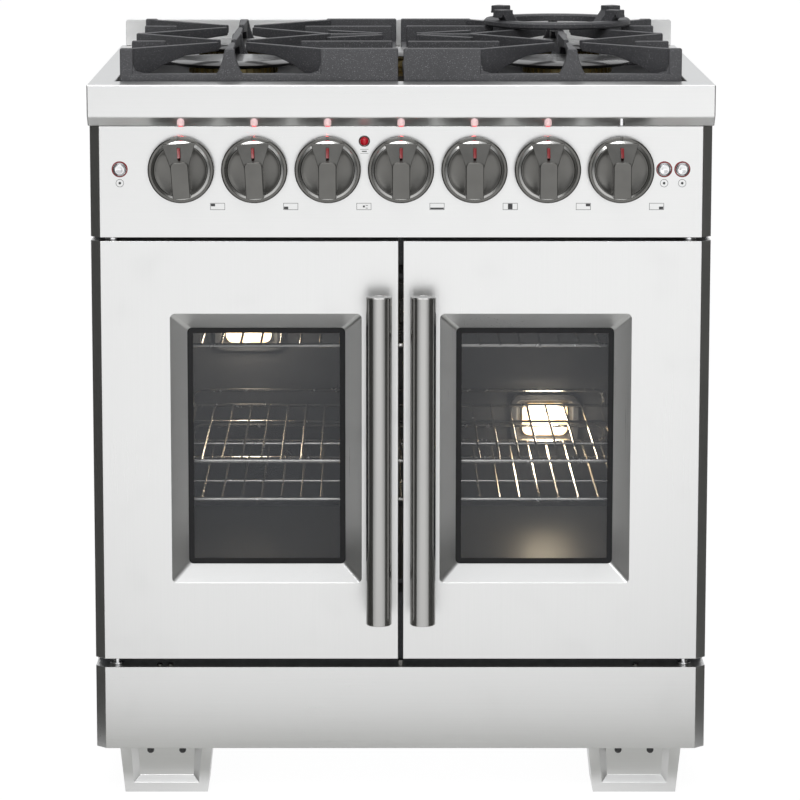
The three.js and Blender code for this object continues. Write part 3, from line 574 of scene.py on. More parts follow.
brass = brass_ring()
ceramic = ceramic_white()
PORTS = 36
BURNERS = ("front_left", "rear_left", "centre", "rear_right", "front_right")
for burner in BURNERS:
    head_low, head_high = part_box(f"{burner}_burner_head")
    cap_low, cap_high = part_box(f"{burner}_burner_cap")
    middle = Vector(((cap_low.x + cap_high.x) / 2, (cap_low.y + cap_high.y) / 2, 0))
    ring = (head_high.x - head_low.x) / 2
    top = head_high.z
    floor_z = tray_low.z + 0.001
    profile = [
        (0, floor_z), (ring - 0.004, floor_z), (ring - 0.004, floor_z + 0.003),
        (ring - 0.010, floor_z + 0.006), (ring - 0.010, top - 0.012), (ring - 0.001, top - 0.009),
        (ring - 0.001, top - 0.002), (ring - 0.004, top), (0, top),
    ]
    head = lathe(f"{burner}_flame_ring", profile, middle, steps=PORTS * 2)
    edit(head, "FACE", lambda place, facing: near(place.z, top - 0.0055, 0.001)
         and int((math.atan2(place.y - middle.y, place.x - middle.x) / (2 * math.pi) + 1) * 2 * PORTS) % 2)
    bpy.ops.mesh.extrude_faces_move(TRANSFORM_OT_shrink_fatten={"value": -0.003})
    leave()
    smooth(head, 30)
    fit(head, "root", "burner_brass", brass, f"{burner}_burner_head")
    radius = (cap_high.x - cap_low.x) / 2
    base, crown = cap_low.z, cap_high.z
    profile = [
        (0, base), (radius - 0.006, base), (radius - 0.004, base + 0.0008), (radius - 0.0012, base + 0.0026),
        (radius, base + 0.0038), (radius - 0.0006, base + 0.0048), (radius - 0.0060, crown - 0.0016),
        (radius - 0.0120, crown - 0.0003), (radius - 0.018, crown), (radius - 0.022, crown), (0, crown),
    ]
    cap = lathe(f"{burner}_cap_disc", profile, middle)
    smooth(cap, 50)
    fit(cap, "root", "black_enamel", black_enamel, f"{burner}_burner_cap")
    pin_spot = middle + Vector((0.014, ring + 0.006, 0))
    profile = [
        (0, floor_z), (0.0030, floor_z), (0.0030, base - 0.006), (0.0022, base - 0.004),
        (0.0022, base - 0.002), (0, base - 0.001),
    ]
    pin = lathe(f"{burner}_igniter", profile, pin_spot, steps=20)
    smooth(pin, 40)
    fit(pin, "root", "lamp_glass", ceramic)


# Grates: two cast-iron halves with a low frame, tall blocks at the split and tapered
# fingers that point at each burner. They stand on the tray and lift straight off.
def cast_metal():
    """Cast iron under satin speckled enamel: pitted skin, fine light flecks and faint large patches."""
    finish = Finish("cast_iron_enamel", (0.045, 0.045, 0.049))
    pits = finish.noise(420.0, 4.0, roughness=0.7)
    flecks = finish.noise(900.0, 1.0).above(0.62, 0.08)
    blush = finish.noise(12.0, 3.0)
    finish.feed(
        Base_Color=finish.mix(flecks * 0.60 + blush * 0.15, (0.044, 0.044, 0.048), (0.27, 0.27, 0.285)),
        Roughness=pits * 0.25 + blush * 0.12 + 0.34,
        Normal=finish.bump(pits, 0.35, 0.0006),
    )
    return finish.material


cast_iron = cast_metal()
CAST_EDGE = 0.0016
FINGER_WIDTH = 0.009
TIP_HEIGHT = 0.011
FINGER_REACH = 0.027
STUB_CLEARANCE = 0.005
STUB_TIP_HEIGHT = 0.024
RAIL_WIDTH = 0.013
RAIL_HEIGHT = 0.011
BLOCK_LENGTH = 0.095
BURNER_CLEARANCE = 0.006
caps = {name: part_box(f"{name}_burner_cap") for name in BURNERS}
spots = {name: (box[0] + box[1]) / 2 for name, box in caps.items()}
cap_reach = {name: (box[1].x - box[0].x) / 2 + BURNER_CLEARANCE for name, box in caps.items()}


def move_vertices(piece, wanted, shift):
    edit(piece, "VERT", wanted)
    bpy.ops.transform.translate(value=shift)
    leave()


def turn_and_place(piece, angle, spot):
    choose(piece)
    piece.rotation_euler = (0, 0, angle)
    piece.location = spot
    bpy.ops.object.transform_apply(location=True, rotation=True, scale=True)


def finger(root, name, base, top, stub=False):
    """A finger out of a rail at root that arches over a burner's cap, or stops short of it."""
    dx, dy = spots[name].x - root[0], spots[name].y - root[1]
    clear = math.hypot(dx, dy) - cap_reach[name]
    length = clear + BURNER_CLEARANCE - STUB_CLEARANCE if stub else math.hypot(dx, dy) - FINGER_REACH
    half = FINGER_WIDTH / 2
    piece = cube("finger", (0, -half, base), (length, half, top))
    rise = top - TIP_HEIGHT - base
    levels = [(length, rise), (clear, rise - 0.003), (clear * 0.62, rise * 0.60), (clear * 0.34, rise * 0.26)]
    if stub:
        rise = top - STUB_TIP_HEIGHT - base
        levels = [(length, rise), (length * 0.5, rise * 0.4)]
    for x, lift in levels[1:]:
        split_at(piece, (max(x, FINGER_WIDTH), 0, 0), (1, 0, 0))
    for x, lift in levels:
        reach = max(x, FINGER_WIDTH) if x < length else length
        move_vertices(piece, lambda place, facing: near(place.x, reach) and near(place.z, base), (0, 0, lift))
    edit(piece, "VERT", lambda place, facing: near(place.x, length))
    bpy.ops.transform.resize(value=(1, 0.72, 1))
    leave()
    bevel(piece, CAST_EDGE)
    turn_and_place(piece, math.atan2(dy, dx), (root[0], root[1], 0))
    return piece


def rail(side, x, y, z):
    near_x, far_x = sorted((side * x[0], side * x[1]))
    piece = cube("rail", (near_x, y[0], z[0]), (far_x, y[1], z[1]))
    bevel(piece, 0.0018)
    return piece


def post(x, y, foot, top):
    """A waisted trapezoid upright on a rail, in front of the root of a finger."""
    half_base, width = 0.018, RAIL_WIDTH / 2
    piece = cube("post", (x - half_base, y - width, foot), (x + half_base, y + width, top))
    levels = ((0.12, 14.5), (0.3, 11.8), (0.6, 8.3), (1.0, 5.5))
    for share, half in levels[:-1]:
        split_at(piece, (0, 0, foot + (top - foot) * share), (0, 0, 1))
    for share, half in levels:
        level = foot + (top - foot) * share
        edit(piece, "VERT", lambda place, facing: near(place.z, level))
        bpy.ops.transform.resize(value=(half / 18.0, 1, 1))
        leave()
    bevel(piece, 0.0014, angle=50)
    return piece


def gusset(side, x, y, foot, way):
    """The curved fillet where a tall block meets the low rail."""
    reach = 0.012
    low_x, high_x = sorted((x, x + side * way * reach))
    half = RAIL_WIDTH / 2 - 0.0008
    piece = cube("gusset", (low_x, y - half, foot - 0.002), (high_x, y + half, foot + reach))
    edit(piece, "VERT", lambda place, facing: near(place.x, x + side * way * reach) and place.z > foot)
    bpy.ops.transform.translate(value=(0, 0, -reach + 0.0005))
    leave()
    edit(piece, "EDGE", lambda place, run: abs(run.x) > 0.3 and abs(run.z) > 0.3 and abs(run.y) < 0.1)
    bpy.ops.mesh.subdivide(number_cuts=1)
    leave()
    shift = -0.0030
    middle_x = x + side * way * reach / 2
    inward = (side * way * shift, 0, shift)
    move_vertices(piece, lambda place, facing: near(place.x, middle_x) and place.z > foot + 0.002, inward)
    return piece


for label, side in (("left", -1), ("right", 1)):
    low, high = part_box(f"{label}_grate")
    start = min(abs(low.x), abs(high.x))
    end = max(abs(low.x), abs(high.x))
    front, rear, top = low.y, high.y, high.z
    base = low.z + 0.0107
    frame_top = base + RAIL_HEIGHT
    half = RAIL_WIDTH / 2
    mid = (front + rear) / 2
    clear = cap_reach["centre"]
    block = start + BLOCK_LENGTH
    rails = (front + half, mid, rear - half)
    node_x = block - half
    parts = [
        rail(side, (end - RAIL_WIDTH, end), (front, rear), (base, frame_top)),
        rail(side, (start, start + RAIL_WIDTH), (front, mid - clear), (base, frame_top)),
        rail(side, (start, start + RAIL_WIDTH), (mid + clear, rear), (base, frame_top)),
        rail(side, (block - RAIL_WIDTH, block), (front + 0.002, rear - 0.002), (base, frame_top)),
        rail(side, (start, end), (front, front + RAIL_WIDTH), (base, frame_top)),
        rail(side, (start, end), (rear - RAIL_WIDTH, rear), (base, frame_top)),
        rail(side, (block - RAIL_WIDTH, end), (mid - half, mid + half), (base, frame_top)),
        rail(side, (start, block), (front, front + RAIL_WIDTH), (base, top)),
        rail(side, (start, block), (rear - RAIL_WIDTH, rear), (base, top)),
    ]
    for y in (front, rear - RAIL_WIDTH):
        parts.append(rail(side, (end - 0.016, end), (y, y + RAIL_WIDTH), (low.z, top)))
        parts.append(rail(side, (start, start + RAIL_WIDTH), (y, y + RAIL_WIDTH), (low.z, base + 0.002)))
        parts.append(gusset(side, side * block, y + half, frame_top, 1))
        parts.append(gusset(side, side * (end - 0.016), y + half, frame_top, -1))
    for name, spot in spots.items():
        if label not in name:
            continue
        before, after = (rails[0], rails[1]) if spot.y < mid else (rails[1], rails[2])
        for x in (end - half, start + half):
            parts.append(finger((side * x, spot.y), name, base, top, stub=True))
        for x, y in (
            (abs(spot.x), before), (abs(spot.x), after),
            (end - half, before), (end - half, after), (node_x, before), (node_x, after),
        ):
            parts.append(finger((side * x, y), name, base, top))
    for y in rails:
        parts.append(post(side * abs(spots["front_left"].x), y, frame_top - 0.001, top))
    for y in (mid - 0.065, mid, mid + 0.065):
        parts.append(finger((side * node_x, y), "centre", base, top))
    for number, part in enumerate(parts):
        sink = 0.00004 * number
        part.data.transform(Matrix.Translation((0, 0, -sink)))
        part.data.transform(Matrix.Scale(1 + 0.00002 * (number % 7), 4, (0, 1, 0)))
        smooth(part, 38)
    grate = join(f"{label}_grate_casting", parts)
    fit(grate, f"{label}_grate_lift", "cast_iron", cast_iron, f"{label}_grate")

# Wok ring: a cast ring with four prongs that lean outwards and end in a turned-down lip.
# It sits loose on the rear right fingers.
def unite(name, parts):
    """Welds overlapping shapes into one skin."""
    whole = parts[0]
    for part in parts[1:]:
        apply_modifier(whole, "BOOLEAN", operation="UNION", object=part, solver="EXACT")
        bpy.data.objects.remove(part)
    whole.name = whole.data.name = name
    return whole


low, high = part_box("wok_ring")
ring_centre = Vector(((low.x + high.x) / 2, (low.y + high.y) / 2, 0))
outer = (high.x - low.x) / 2
inner = outer - 0.020
base, crown = low.z, high.z
ring_top = base + 0.009
profile = [
    (inner, base + 0.001), (inner + 0.001, base), (outer - 0.002, base), (outer, base + 0.002),
    (outer, ring_top - 0.0025), (outer - 0.0025, ring_top), (inner + 0.002, ring_top),
    (inner, ring_top - 0.002),
]
parts = [lathe("ring", profile, (0, 0, 0), steps=96)]
for angle in (0.18, 0.82, 1.18, 1.82):
    prong = cube("prong", (inner - 0.014, -0.009, base), (inner + 0.004, 0.009, crown))
    split_at(prong, (0, 0, crown - 0.006), (0, 0, 1))
    lip = crown - 0.0065
    move_vertices(prong, lambda place, facing: place.z > lip, (0.014, 0, 0))
    move_vertices(prong, lambda place, facing: place.z > lip and place.x > inner + 0.010, (-0.002, 0, 0))
    edit(prong, "FACE", lambda place, facing: place.z > crown - 0.005 and facing.x > 0.5
         and near(place.y, 0, 0.001))
    bpy.ops.mesh.extrude_region_move(TRANSFORM_OT_translate={"value": (outer - inner - 0.016, 0, 0)})
    leave()
    tip_x = outer - 0.012
    edit(prong, "FACE", lambda place, facing: facing.z < -0.5 and place.z > crown - 0.008 and place.x > tip_x)
    bpy.ops.mesh.extrude_region_move(TRANSFORM_OT_translate={"value": (0.001, 0, -0.004)})
    leave()
    bevel(prong, 0.0012)
    turn_and_place(prong, angle * math.pi, (0, 0, 0))
    parts.append(prong)
wok_ring = unite("wok_ring_casting", parts)
turn_and_place(wok_ring, 0, ring_centre)
smooth(wok_ring, 35)
fit(wok_ring, "wok_ring_lift", "cast_iron", cast_iron, "wok_ring")


# Control panel and kick panel: folded stainless sheets with 45 degree side chamfers, open
# at the back. The door hinge pins are studs on their facing flanges.
def front_sheet(name, low, high, chamfer=0.012, sheet=0.0016):
    piece = cube(name, low, high)
    cut_edges(piece, chamfer, 1, lambda place, run: abs(run.z) > 0.9 and near(place.y, low.y))
    edit(piece, "FACE", lambda place, facing: facing.y > 0.9)
    bpy.ops.mesh.delete(type="FACE")
    leave()
    apply_modifier(piece, "SOLIDIFY", thickness=sheet, offset=-1, use_even_offset=True)
    soften(piece, 0.0007, 2, 30)
    return piece


PIN_ENTRY = 0.008
door_low, door_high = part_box("right_door_skin")
panel_low, panel_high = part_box("control_panel")
panel_low.z += PIN_ENTRY + 0.0045
kick_low, kick_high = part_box("kick_panel")
kick_high.z -= PIN_ENTRY + 0.0105
face_y = panel_low.y
panel = front_sheet("control_panel_sheet", panel_low, panel_high)
fit(panel, "root", "brushed_steel", steel_across, "control_panel")
kick = front_sheet("kick_panel_sheet", kick_low, kick_high)
fit(kick, "root", "brushed_steel", steel_across, "kick_panel")


def plated():
    """Bright chrome plate with faint haze and tiny pinholes."""
    finish = Finish("bright_chrome", (0.80, 0.80, 0.81), Metallic=1.0)
    haze = finish.noise(60.0, 3.0)
    finish.feed(
        Base_Color=finish.mix(haze, (0.70, 0.70, 0.71), (0.86, 0.86, 0.87)),
        Roughness=haze * 0.12 + 0.08,
        Normal=finish.bump(finish.noise(500.0, 2.0), 0.03, 0.0002),
    )
    return finish.material


chrome = plated()
hinge = frame["joints"][[j["name"] for j in frame["joints"]].index("right_door_hinge")]["pos_m"]
for label, side in (("left", -1), ("right", 1)):
    spans = {
        "upper": (door_high.z - PIN_ENTRY, panel_low.z + 0.0005),
        "lower": (kick_high.z - 0.0005, door_low.z + PIN_ENTRY),
    }
    for level, (bottom, top) in spans.items():
        collar = (bottom + top) / 2 + (0.0015 if level == "lower" else -0.0005)
        lower_end = kick_high.z if level == "lower" else door_high.z
        profile = [
            (0, bottom), (0.0040, bottom), (0.0045, bottom + 0.0008), (0.0045, lower_end + 0.0006),
            (0.0085, lower_end + 0.0006), (0.0085, lower_end + 0.0026), (0.0045, lower_end + 0.0026),
            (0.0045, top - 0.0008), (0.0040, top), (0, top),
        ]
        pin = lathe(f"{label}_{level}_hinge_pin", profile, (side * abs(hinge[0]), hinge[1], 0), steps=32)
        smooth(pin, 35)
        fit(pin, "root", "polished_chrome", chrome)


# Knobs: solid gunmetal-finished castings. A thin outer rim, a stepped dish, a tall grip bar
# whose head flares down to the rim, and a red pointer slot; each presses onto its stem.
def gunmetal():
    finish = Finish("gunmetal_satin", (0.36, 0.35, 0.33), Metallic=1.0)
    grain = finish.noise(1.0, 3.0, (1200, 1200, 10))
    touch = finish.noise(45.0, 3.0)
    finish.feed(
        Base_Color=finish.mix(touch, (0.105, 0.103, 0.098), (0.165, 0.162, 0.153)),
        Roughness=grain * 0.08 + touch * 0.10 + 0.14,
        Normal=finish.bump(grain, 0.05, 0.0003),
    )
    return finish.material


def red_glow(name, strength, colour):
    """Coloured emissive skin, slightly mottled: lit lenses use it, and so do painted glows on parts that are
    no lamps.
    """
    finish = Finish(name, colour, Roughness=0.12, Emission_Strength=strength)
    mottle = finish.noise(350.0, 2.0)
    deep = tuple(c * 0.6 for c in colour)
    finish.feed(
        Base_Color=finish.mix(mottle, deep, colour),
        Emission_Color=finish.mix(mottle, deep, colour),
    )
    return finish.material


def face_spot(name, drop=0.0):
    """The middle of a node as seen from the front, on the plane y = 0."""
    low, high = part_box(name)
    return Vector(((low.x + high.x) / 2, 0, (low.z + high.z) / 2 - drop))


knob_metal = gunmetal()
# pale pink painted glow on the lit knob light sleeves, standing in for their highlight and red light
sleeve_painted_glow = red_glow("knob_sleeve_painted_glow", 0.30, (0.95, 0.66, 0.66))
bezel_metal = brushed("knob_bezel_metal", (0.58, 0.575, 0.56), (1200, 1200, 10), 0.20)
red_lens = red_glow("red_lens_dark", 0.35, (0.42, 0.004, 0.014))
red_lit = red_glow("red_lens_lit", 1.5, (1.0, 0.03, 0.05))
# faint painted red glow on the knob pointers for the knob light falling on them; the button halo rings share
# it
red_fill_painted_glow = red_glow("red_pointer_painted_glow", 0.05, (0.26, 0.002, 0.006))
# the unlit lens glows faintly grey: a painted highlight
unlit_lens_painted_glow = red_glow("clear_lens_painted_glow", 0.3, (0.80, 0.80, 0.80))
KNOB_NAMES = ("rear_left", "front_left", "thermostat", "oven_mode", "centre", "rear_right", "front_right")
KNOB_TILT = {"rear_left": 4.0, "front_left": 3.0}
knob_low, knob_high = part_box("centre_knob")
radius = (knob_high.x - knob_low.x) / 2
back = knob_high.y
crown_depth = back - knob_low.y
d = [back - depth for depth in (0.0, 0.0070, 0.0084, 0.0090, 0.0130, 0.0110)]
profile = [
    (0, back), (radius - 0.0010, back), (radius, back - 0.0012), (radius, d[1]), (radius - 0.0014, d[2]),
    (radius - 0.0042, d[2]), (radius - 0.0052, d[1]), (radius - 0.0058, d[1]), (radius - 0.0068, d[3]),
    (radius - 0.0074, d[4] + 0.0008), (radius - 0.0084, d[4]), (radius - 0.0092, d[4]),
    (radius - 0.0138, d[5]), (0, d[5]),
]
dish = lathe("dish", profile, (0, 0, 0), "Y", 96)
notch = cube("notch", (-0.0016, back - 0.014, radius - 0.0044), (0.0016, back - 0.0045, radius + 0.002))
apply_modifier(dish, "BOOLEAN", operation="DIFFERENCE", object=notch, solver="EXACT")
bpy.data.objects.remove(notch)
reach = radius - 0.0085
grip_half = 0.0118
front = back - crown_depth
grip = cube("grip", (-grip_half, front, -reach), (grip_half, d[5] + 0.002, 0.0125))
split_at(grip, (0, 0, -reach * 0.35), (0, 0, 1))
edit(grip, "VERT", lambda place, facing: near(place.z, -reach * 0.35) and place.y > front + 0.01)
bpy.ops.transform.resize(value=(0.93, 1, 1))
leave()
edit(grip, "VERT", lambda place, facing: near(place.y, front))
bpy.ops.transform.resize(value=(0.90, 1, 1))
leave()
cut_edges(grip, 0.0055, 5, lambda place, run: abs(run.y) > 0.9 and place.z > 0.01)
bevel(grip, 0.0009, 3, 30)
flare = cube("flare", (-0.0105, front + 0.0035, 0.004), (0.0105, d[5] + 0.002, reach + 0.001))
flare_drop = d[4] - front - 0.004
move_vertices(flare, lambda place, facing: place.z > 0.02 and place.y < back - 0.02, (0, flare_drop, 0))
edit(flare, "VERT", lambda place, facing: place.z > 0.02)
bpy.ops.transform.resize(value=(1.95, 1, 1))
leave()
bevel(flare, 0.0008, 2, 30)
knob = unite("knob_master", [dish, grip, flare])
slot_cut = cube("slot_cut", (-0.0021, front - 0.004, 0.0165), (0.0021, back - 0.0180, 0.0285))
edit(slot_cut, "VERT", lambda place, facing: place.z > 0.02)
bpy.ops.transform.translate(value=(0, 0.0075, 0))
leave()
apply_modifier(knob, "BOOLEAN", operation="DIFFERENCE", object=slot_cut, solver="EXACT")
bpy.data.objects.remove(slot_cut)
smooth(knob, 32)
pointer = cube("pointer_master", (-0.0019, back - 0.0300, 0.0167), (0.0019, back - 0.0150, 0.0283))
move_vertices(pointer, lambda place, facing: place.z > 0.02, (0, 0.0066, 0))
soften(pointer, 0.0006, 2)
ring_back = d[1] + 0.0015
profile = [
    (radius - 0.0082, ring_back), (radius - 0.0080, d[3] - 0.0022), (radius - 0.0074, d[3] - 0.0030),
    (radius - 0.0046, d[3] - 0.0016), (radius - 0.0040, d[3] - 0.0006), (radius - 0.0040, ring_back),
]
bezel = lathe("bezel_master", profile, (0, 0, 0), "Y", 96)
smooth(bezel, 30)
for index, name in enumerate(KNOB_NAMES):
    spot = face_spot(f"{name}_knob")
    turn = Matrix.Rotation(-math.radians(KNOB_TILT.get(name, 0)), 4, "Y")
    for master, label, slot, paint, replaced in (
        (knob, "knob_casting", "dark_steel", knob_metal, (f"{name}_knob",)),
        # pointer: red fill with a faint painted glow
        (pointer, "knob_pointer", "red_jewel", red_fill_painted_glow, ()),
        (bezel, "knob_bezel", "dark_steel", bezel_metal, ()),
    ):
        twin = copy_of(master, f"{name}_{label}", (0, 0, 0))
        twin.data.transform(turn)
        twin.data.transform(Matrix.Translation(spot))
        fit(twin, f"{name}_control", slot, paint, *replaced)
for master in (knob, pointer, bezel):
    bpy.data.objects.remove(master)

# Knob lights: a polished sleeve through the chamfer under the cooktop lip above each knob,
# with a red lens in its end that shines down on the pointer; the last one is off. The lit sleeves get a pale
# pink painted glow for their highlight and the red light on them.
for index, name in enumerate(KNOB_NAMES):
    x = face_spot(f"{name}_knob").x
    foot = cooktop_low.z + 0.0010
    centre = (x, face_y - 0.0056, 0)
    sleeve_top = cooktop_low.z + LIP_CHAMFER
    profile = [
        (0, foot + 0.0008), (0.0034, foot + 0.0008), (0.0038, foot), (0.0046, foot + 0.0006),
        (0.0046, sleeve_top),
        (0, sleeve_top),
    ]
    sleeve = lathe(f"knob_light_sleeve_{index + 1}", profile, centre, steps=28)
    smooth(sleeve, 40)
    # the lit sleeves carry the painted glow, the unlit one plain chrome
    fit(sleeve, "root", "polished_chrome", sleeve_painted_glow if index < len(KNOB_NAMES) - 1 else chrome)
    profile = [
        (0, foot - 0.0014), (0.0022, foot - 0.0010), (0.0033, foot), (0.0033, foot + 0.0012),
        (0, foot + 0.0012),
    ]
    lens = lathe(f"knob_light_lens_{index + 1}", profile, centre, steps=28)
    smooth(lens, 60)
    lit = index < len(KNOB_NAMES) - 1
    # the unlit last lens has a faint painted glow
    fit(lens, "root", "red_jewel", red_lit if lit else unlit_lens_painted_glow)
    if lit:
        bpy.ops.object.light_add(type="SPOT", location=(x, face_y - 0.0060, foot - 0.0020))
        glow = bpy.context.object
        glow.name = f"knob_glow_{index + 1}"
        aim = Vector((x, face_y - 0.0040, cooktop_low.z - 0.030)) - glow.location
        glow.rotation_euler = aim.to_track_quat("-Z", "Y").to_euler()
        glow.data.energy = 0.55
        glow.data.color = (1.0, 0.05, 0.05)
        glow.data.spot_size = math.radians(30)
        glow.data.spot_blend = 0.9
        glow.data.shadow_soft_size = 0.0008

# Push buttons and indicator: chrome push buttons in fixed chrome collars with a red ring behind
# that has a faint painted glow, and a domed red jewel in a bezel between the knobs.
BUTTONS = ("lamp_button", "fan_button", "ignition_button")
for name in BUTTONS:
    spot = face_spot(name)
    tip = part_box(name)[0].y
    profile = [
        (0, tip + 0.0008), (0.0030, tip + 0.0006), (0.0048, tip), (0.0056, tip + 0.0002),
        (0.0062, tip + 0.0012),
        (0.0062, face_y + 0.006), (0, face_y + 0.006),
    ]
    button = lathe(f"{name}_cap", profile, spot, "Y", 48)
    smooth(button, 40)
    fit(button, f"{name}_push", "polished_chrome", chrome, name)
    collar = [
        (0.0065, face_y + 0.001), (0.0065, face_y - 0.0030), (0.0072, face_y - 0.0036),
        (0.0080, face_y - 0.0030),
        (0.0082, face_y + 0.001),
    ]
    surround_ring = lathe(f"{name}_collar", collar, spot, "Y", 48)
    smooth(surround_ring, 40)
    fit(surround_ring, "root", "polished_chrome", chrome)
    halo = [
        (0.0083, face_y + 0.0005), (0.0083, face_y - 0.0010), (0.0096, face_y - 0.0008),
        (0.0100, face_y + 0.0005),
    ]
    halo_ring = lathe(f"{name}_halo", halo, spot, "Y", 48)
    smooth(halo_ring, 50)
    # halo ring: red with the same faint painted glow as the pointers
    fit(halo_ring, "root", "red_jewel", red_fill_painted_glow)
spot = face_spot("indicator_jewel")
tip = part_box("indicator_jewel")[0].y
dome_angles = [step * math.pi / 12 for step in range(7)]
dome = [(0.0052 * math.sin(angle), tip + 0.0048 * (1 - math.cos(angle))) for angle in dome_angles]
jewel = lathe("indicator_lens", dome + [(0.0052, face_y + 0.004), (0, face_y + 0.004)], spot, "Y", 40)
smooth(jewel, 60)
fit(jewel, "root", "red_jewel", red_lens, "indicator_jewel")
bezel = [
    (0.0054, face_y + 0.001), (0.0054, face_y - 0.0022), (0.0062, face_y - 0.0026), (0.0068, face_y - 0.0018),
    (0.0070, face_y + 0.001),
]
bezel_ring = lathe("indicator_bezel", bezel, spot, "Y", 40)
smooth(bezel_ring, 40)
fit(bezel_ring, "root", "dark_steel", knob_metal)


# Printed icons: thin screen-printed marks beside each knob, which show the burner's place
# in an outlined field, and a ringed dot under each button.
def print_ink():
    finish = Finish("screen_print_ink", (0.05, 0.05, 0.05))
    wear = finish.noise(900.0, 2.0)
    finish.feed(
        Base_Color=finish.mix(wear.above(0.62, 0.1), (0.04, 0.04, 0.042), (0.16, 0.16, 0.16)),
        Roughness=wear * 0.2 + 0.4,
    )
    return finish.material


ink = print_ink()
PRINT = 0.00015


def printed_bar(x, z):
    return cube("bar", (x[0], face_y - PRINT, z[0]), (x[1], face_y + 0.0001, z[1]))


FIELD = (0.0090, 0.0042)
LINE = 0.0005
MARKS = {
    "rear_left": (-0.0082, -0.0030, 0.0002, 0.0034), "front_left": (-0.0082, -0.0030, -0.0034, -0.0002),
    "thermostat": (-0.0012, 0.0012, -0.0012, 0.0012), "oven_mode": (-0.0082, 0.0082, -0.0034, -0.0014),
    "centre": (-0.0028, 0.0028, -0.0034, 0.0034), "rear_right": (0.0030, 0.0082, 0.0002, 0.0034),
    "front_right": (0.0030, 0.0082, -0.0034, -0.0002),
}
ICON_DROP = 0.0455
icon_z = face_spot("centre_knob", ICON_DROP).z
ICON_ASIDE = 0.0440
for name in KNOB_NAMES:
    x = face_spot(f"{name}_knob").x + ICON_ASIDE
    w, h = FIELD
    left, right, bottom, top = MARKS[name]
    bars = [
        printed_bar((x - w, x + w), (icon_z + h - LINE, icon_z + h)),
        printed_bar((x - w, x + w), (icon_z - h, icon_z - h + LINE)),
        printed_bar((x - w, x - w + LINE), (icon_z - h + LINE, icon_z + h - LINE)),
        printed_bar((x + w - LINE, x + w), (icon_z - h + LINE, icon_z + h - LINE)),
        printed_bar((x + left, x + right), (icon_z + bottom, icon_z + top)),
    ]
    if name == "thermostat":
        bars.append(printed_bar((x + 0.0022, x + 0.0048), (icon_z - 0.0024, icon_z - 0.0017)))
        bars.append(printed_bar((x + 0.0022, x + 0.0048), (icon_z + 0.0010, icon_z + 0.0017)))
    fit(join(f"{name}_icon", bars), "root", "black_rubber", ink)
BUTTON_MARK_DROP = 0.0170
JEWEL_MARK_DROP = 0.0125
for name in BUTTONS:
    centre = face_spot(name, BUTTON_MARK_DROP)
    raised = face_y - PRINT
    outline = [(0.0044, face_y), (0.0044, raised), (0.0049, raised), (0.0049, face_y)]
    ring = lathe("ring", outline, centre, "Y", 40)
    dot = lathe("dot", [(0, face_y), (0.0016, face_y), (0.0016, raised), (0, raised)], centre, "Y", 20)
    fit(join(f"{name}_icon", [ring, dot]), "root", "black_rubber", ink)
x, _, z = face_spot("indicator_jewel", JEWEL_MARK_DROP)
tag = join("indicator_icon", [
    printed_bar((x - 0.0050, x + 0.0050), (z + 0.0022, z + 0.0026)),
    printed_bar((x - 0.0050, x + 0.0050), (z - 0.0026, z - 0.0022)),
    printed_bar((x - 0.0030, x + 0.0030), (z - 0.0006, z + 0.0006)),
])
fit(tag, "root", "black_rubber", ink)


# French doors: a folded stainless skin with a deep bevelled window frame, a clear pane with
# a black printed border behind it, and an enamelled inner panel whose collar holds the pane.
def clear_glass(name, tint, alpha):
    finish = Finish(name, tint)
    film = finish.noise(7.0, 3.0)
    finish.feed(
        Base_Color=finish.mix(film, tuple(c * 0.8 for c in tint), tint),
        Roughness=film * 0.05 + 0.01,
        Alpha=film * 0.04 + (alpha - 0.02),
    )
    return finish.material


def oven_enamel_finish():
    """Dark blue-grey vitreous enamel with fine pale flecks."""
    finish = Finish("oven_enamel", (0.05, 0.055, 0.062), Coat_Roughness=0.1)
    flecks = finish.noise(700.0, 1.0).above(0.63, 0.05)
    haze = finish.noise(8.0, 3.0)
    finish.feed(
        Base_Color=finish.mix(flecks * 0.5 + haze * 0.15, (0.030, 0.033, 0.039), (0.26, 0.27, 0.29)),
        Roughness=haze * 0.2 + 0.34,
        Coat_Weight=haze * 0.2 + 0.1,
        Normal=finish.bump(finish.noise(180.0, 2.0), 0.05, 0.0004),
    )
    return finish.material


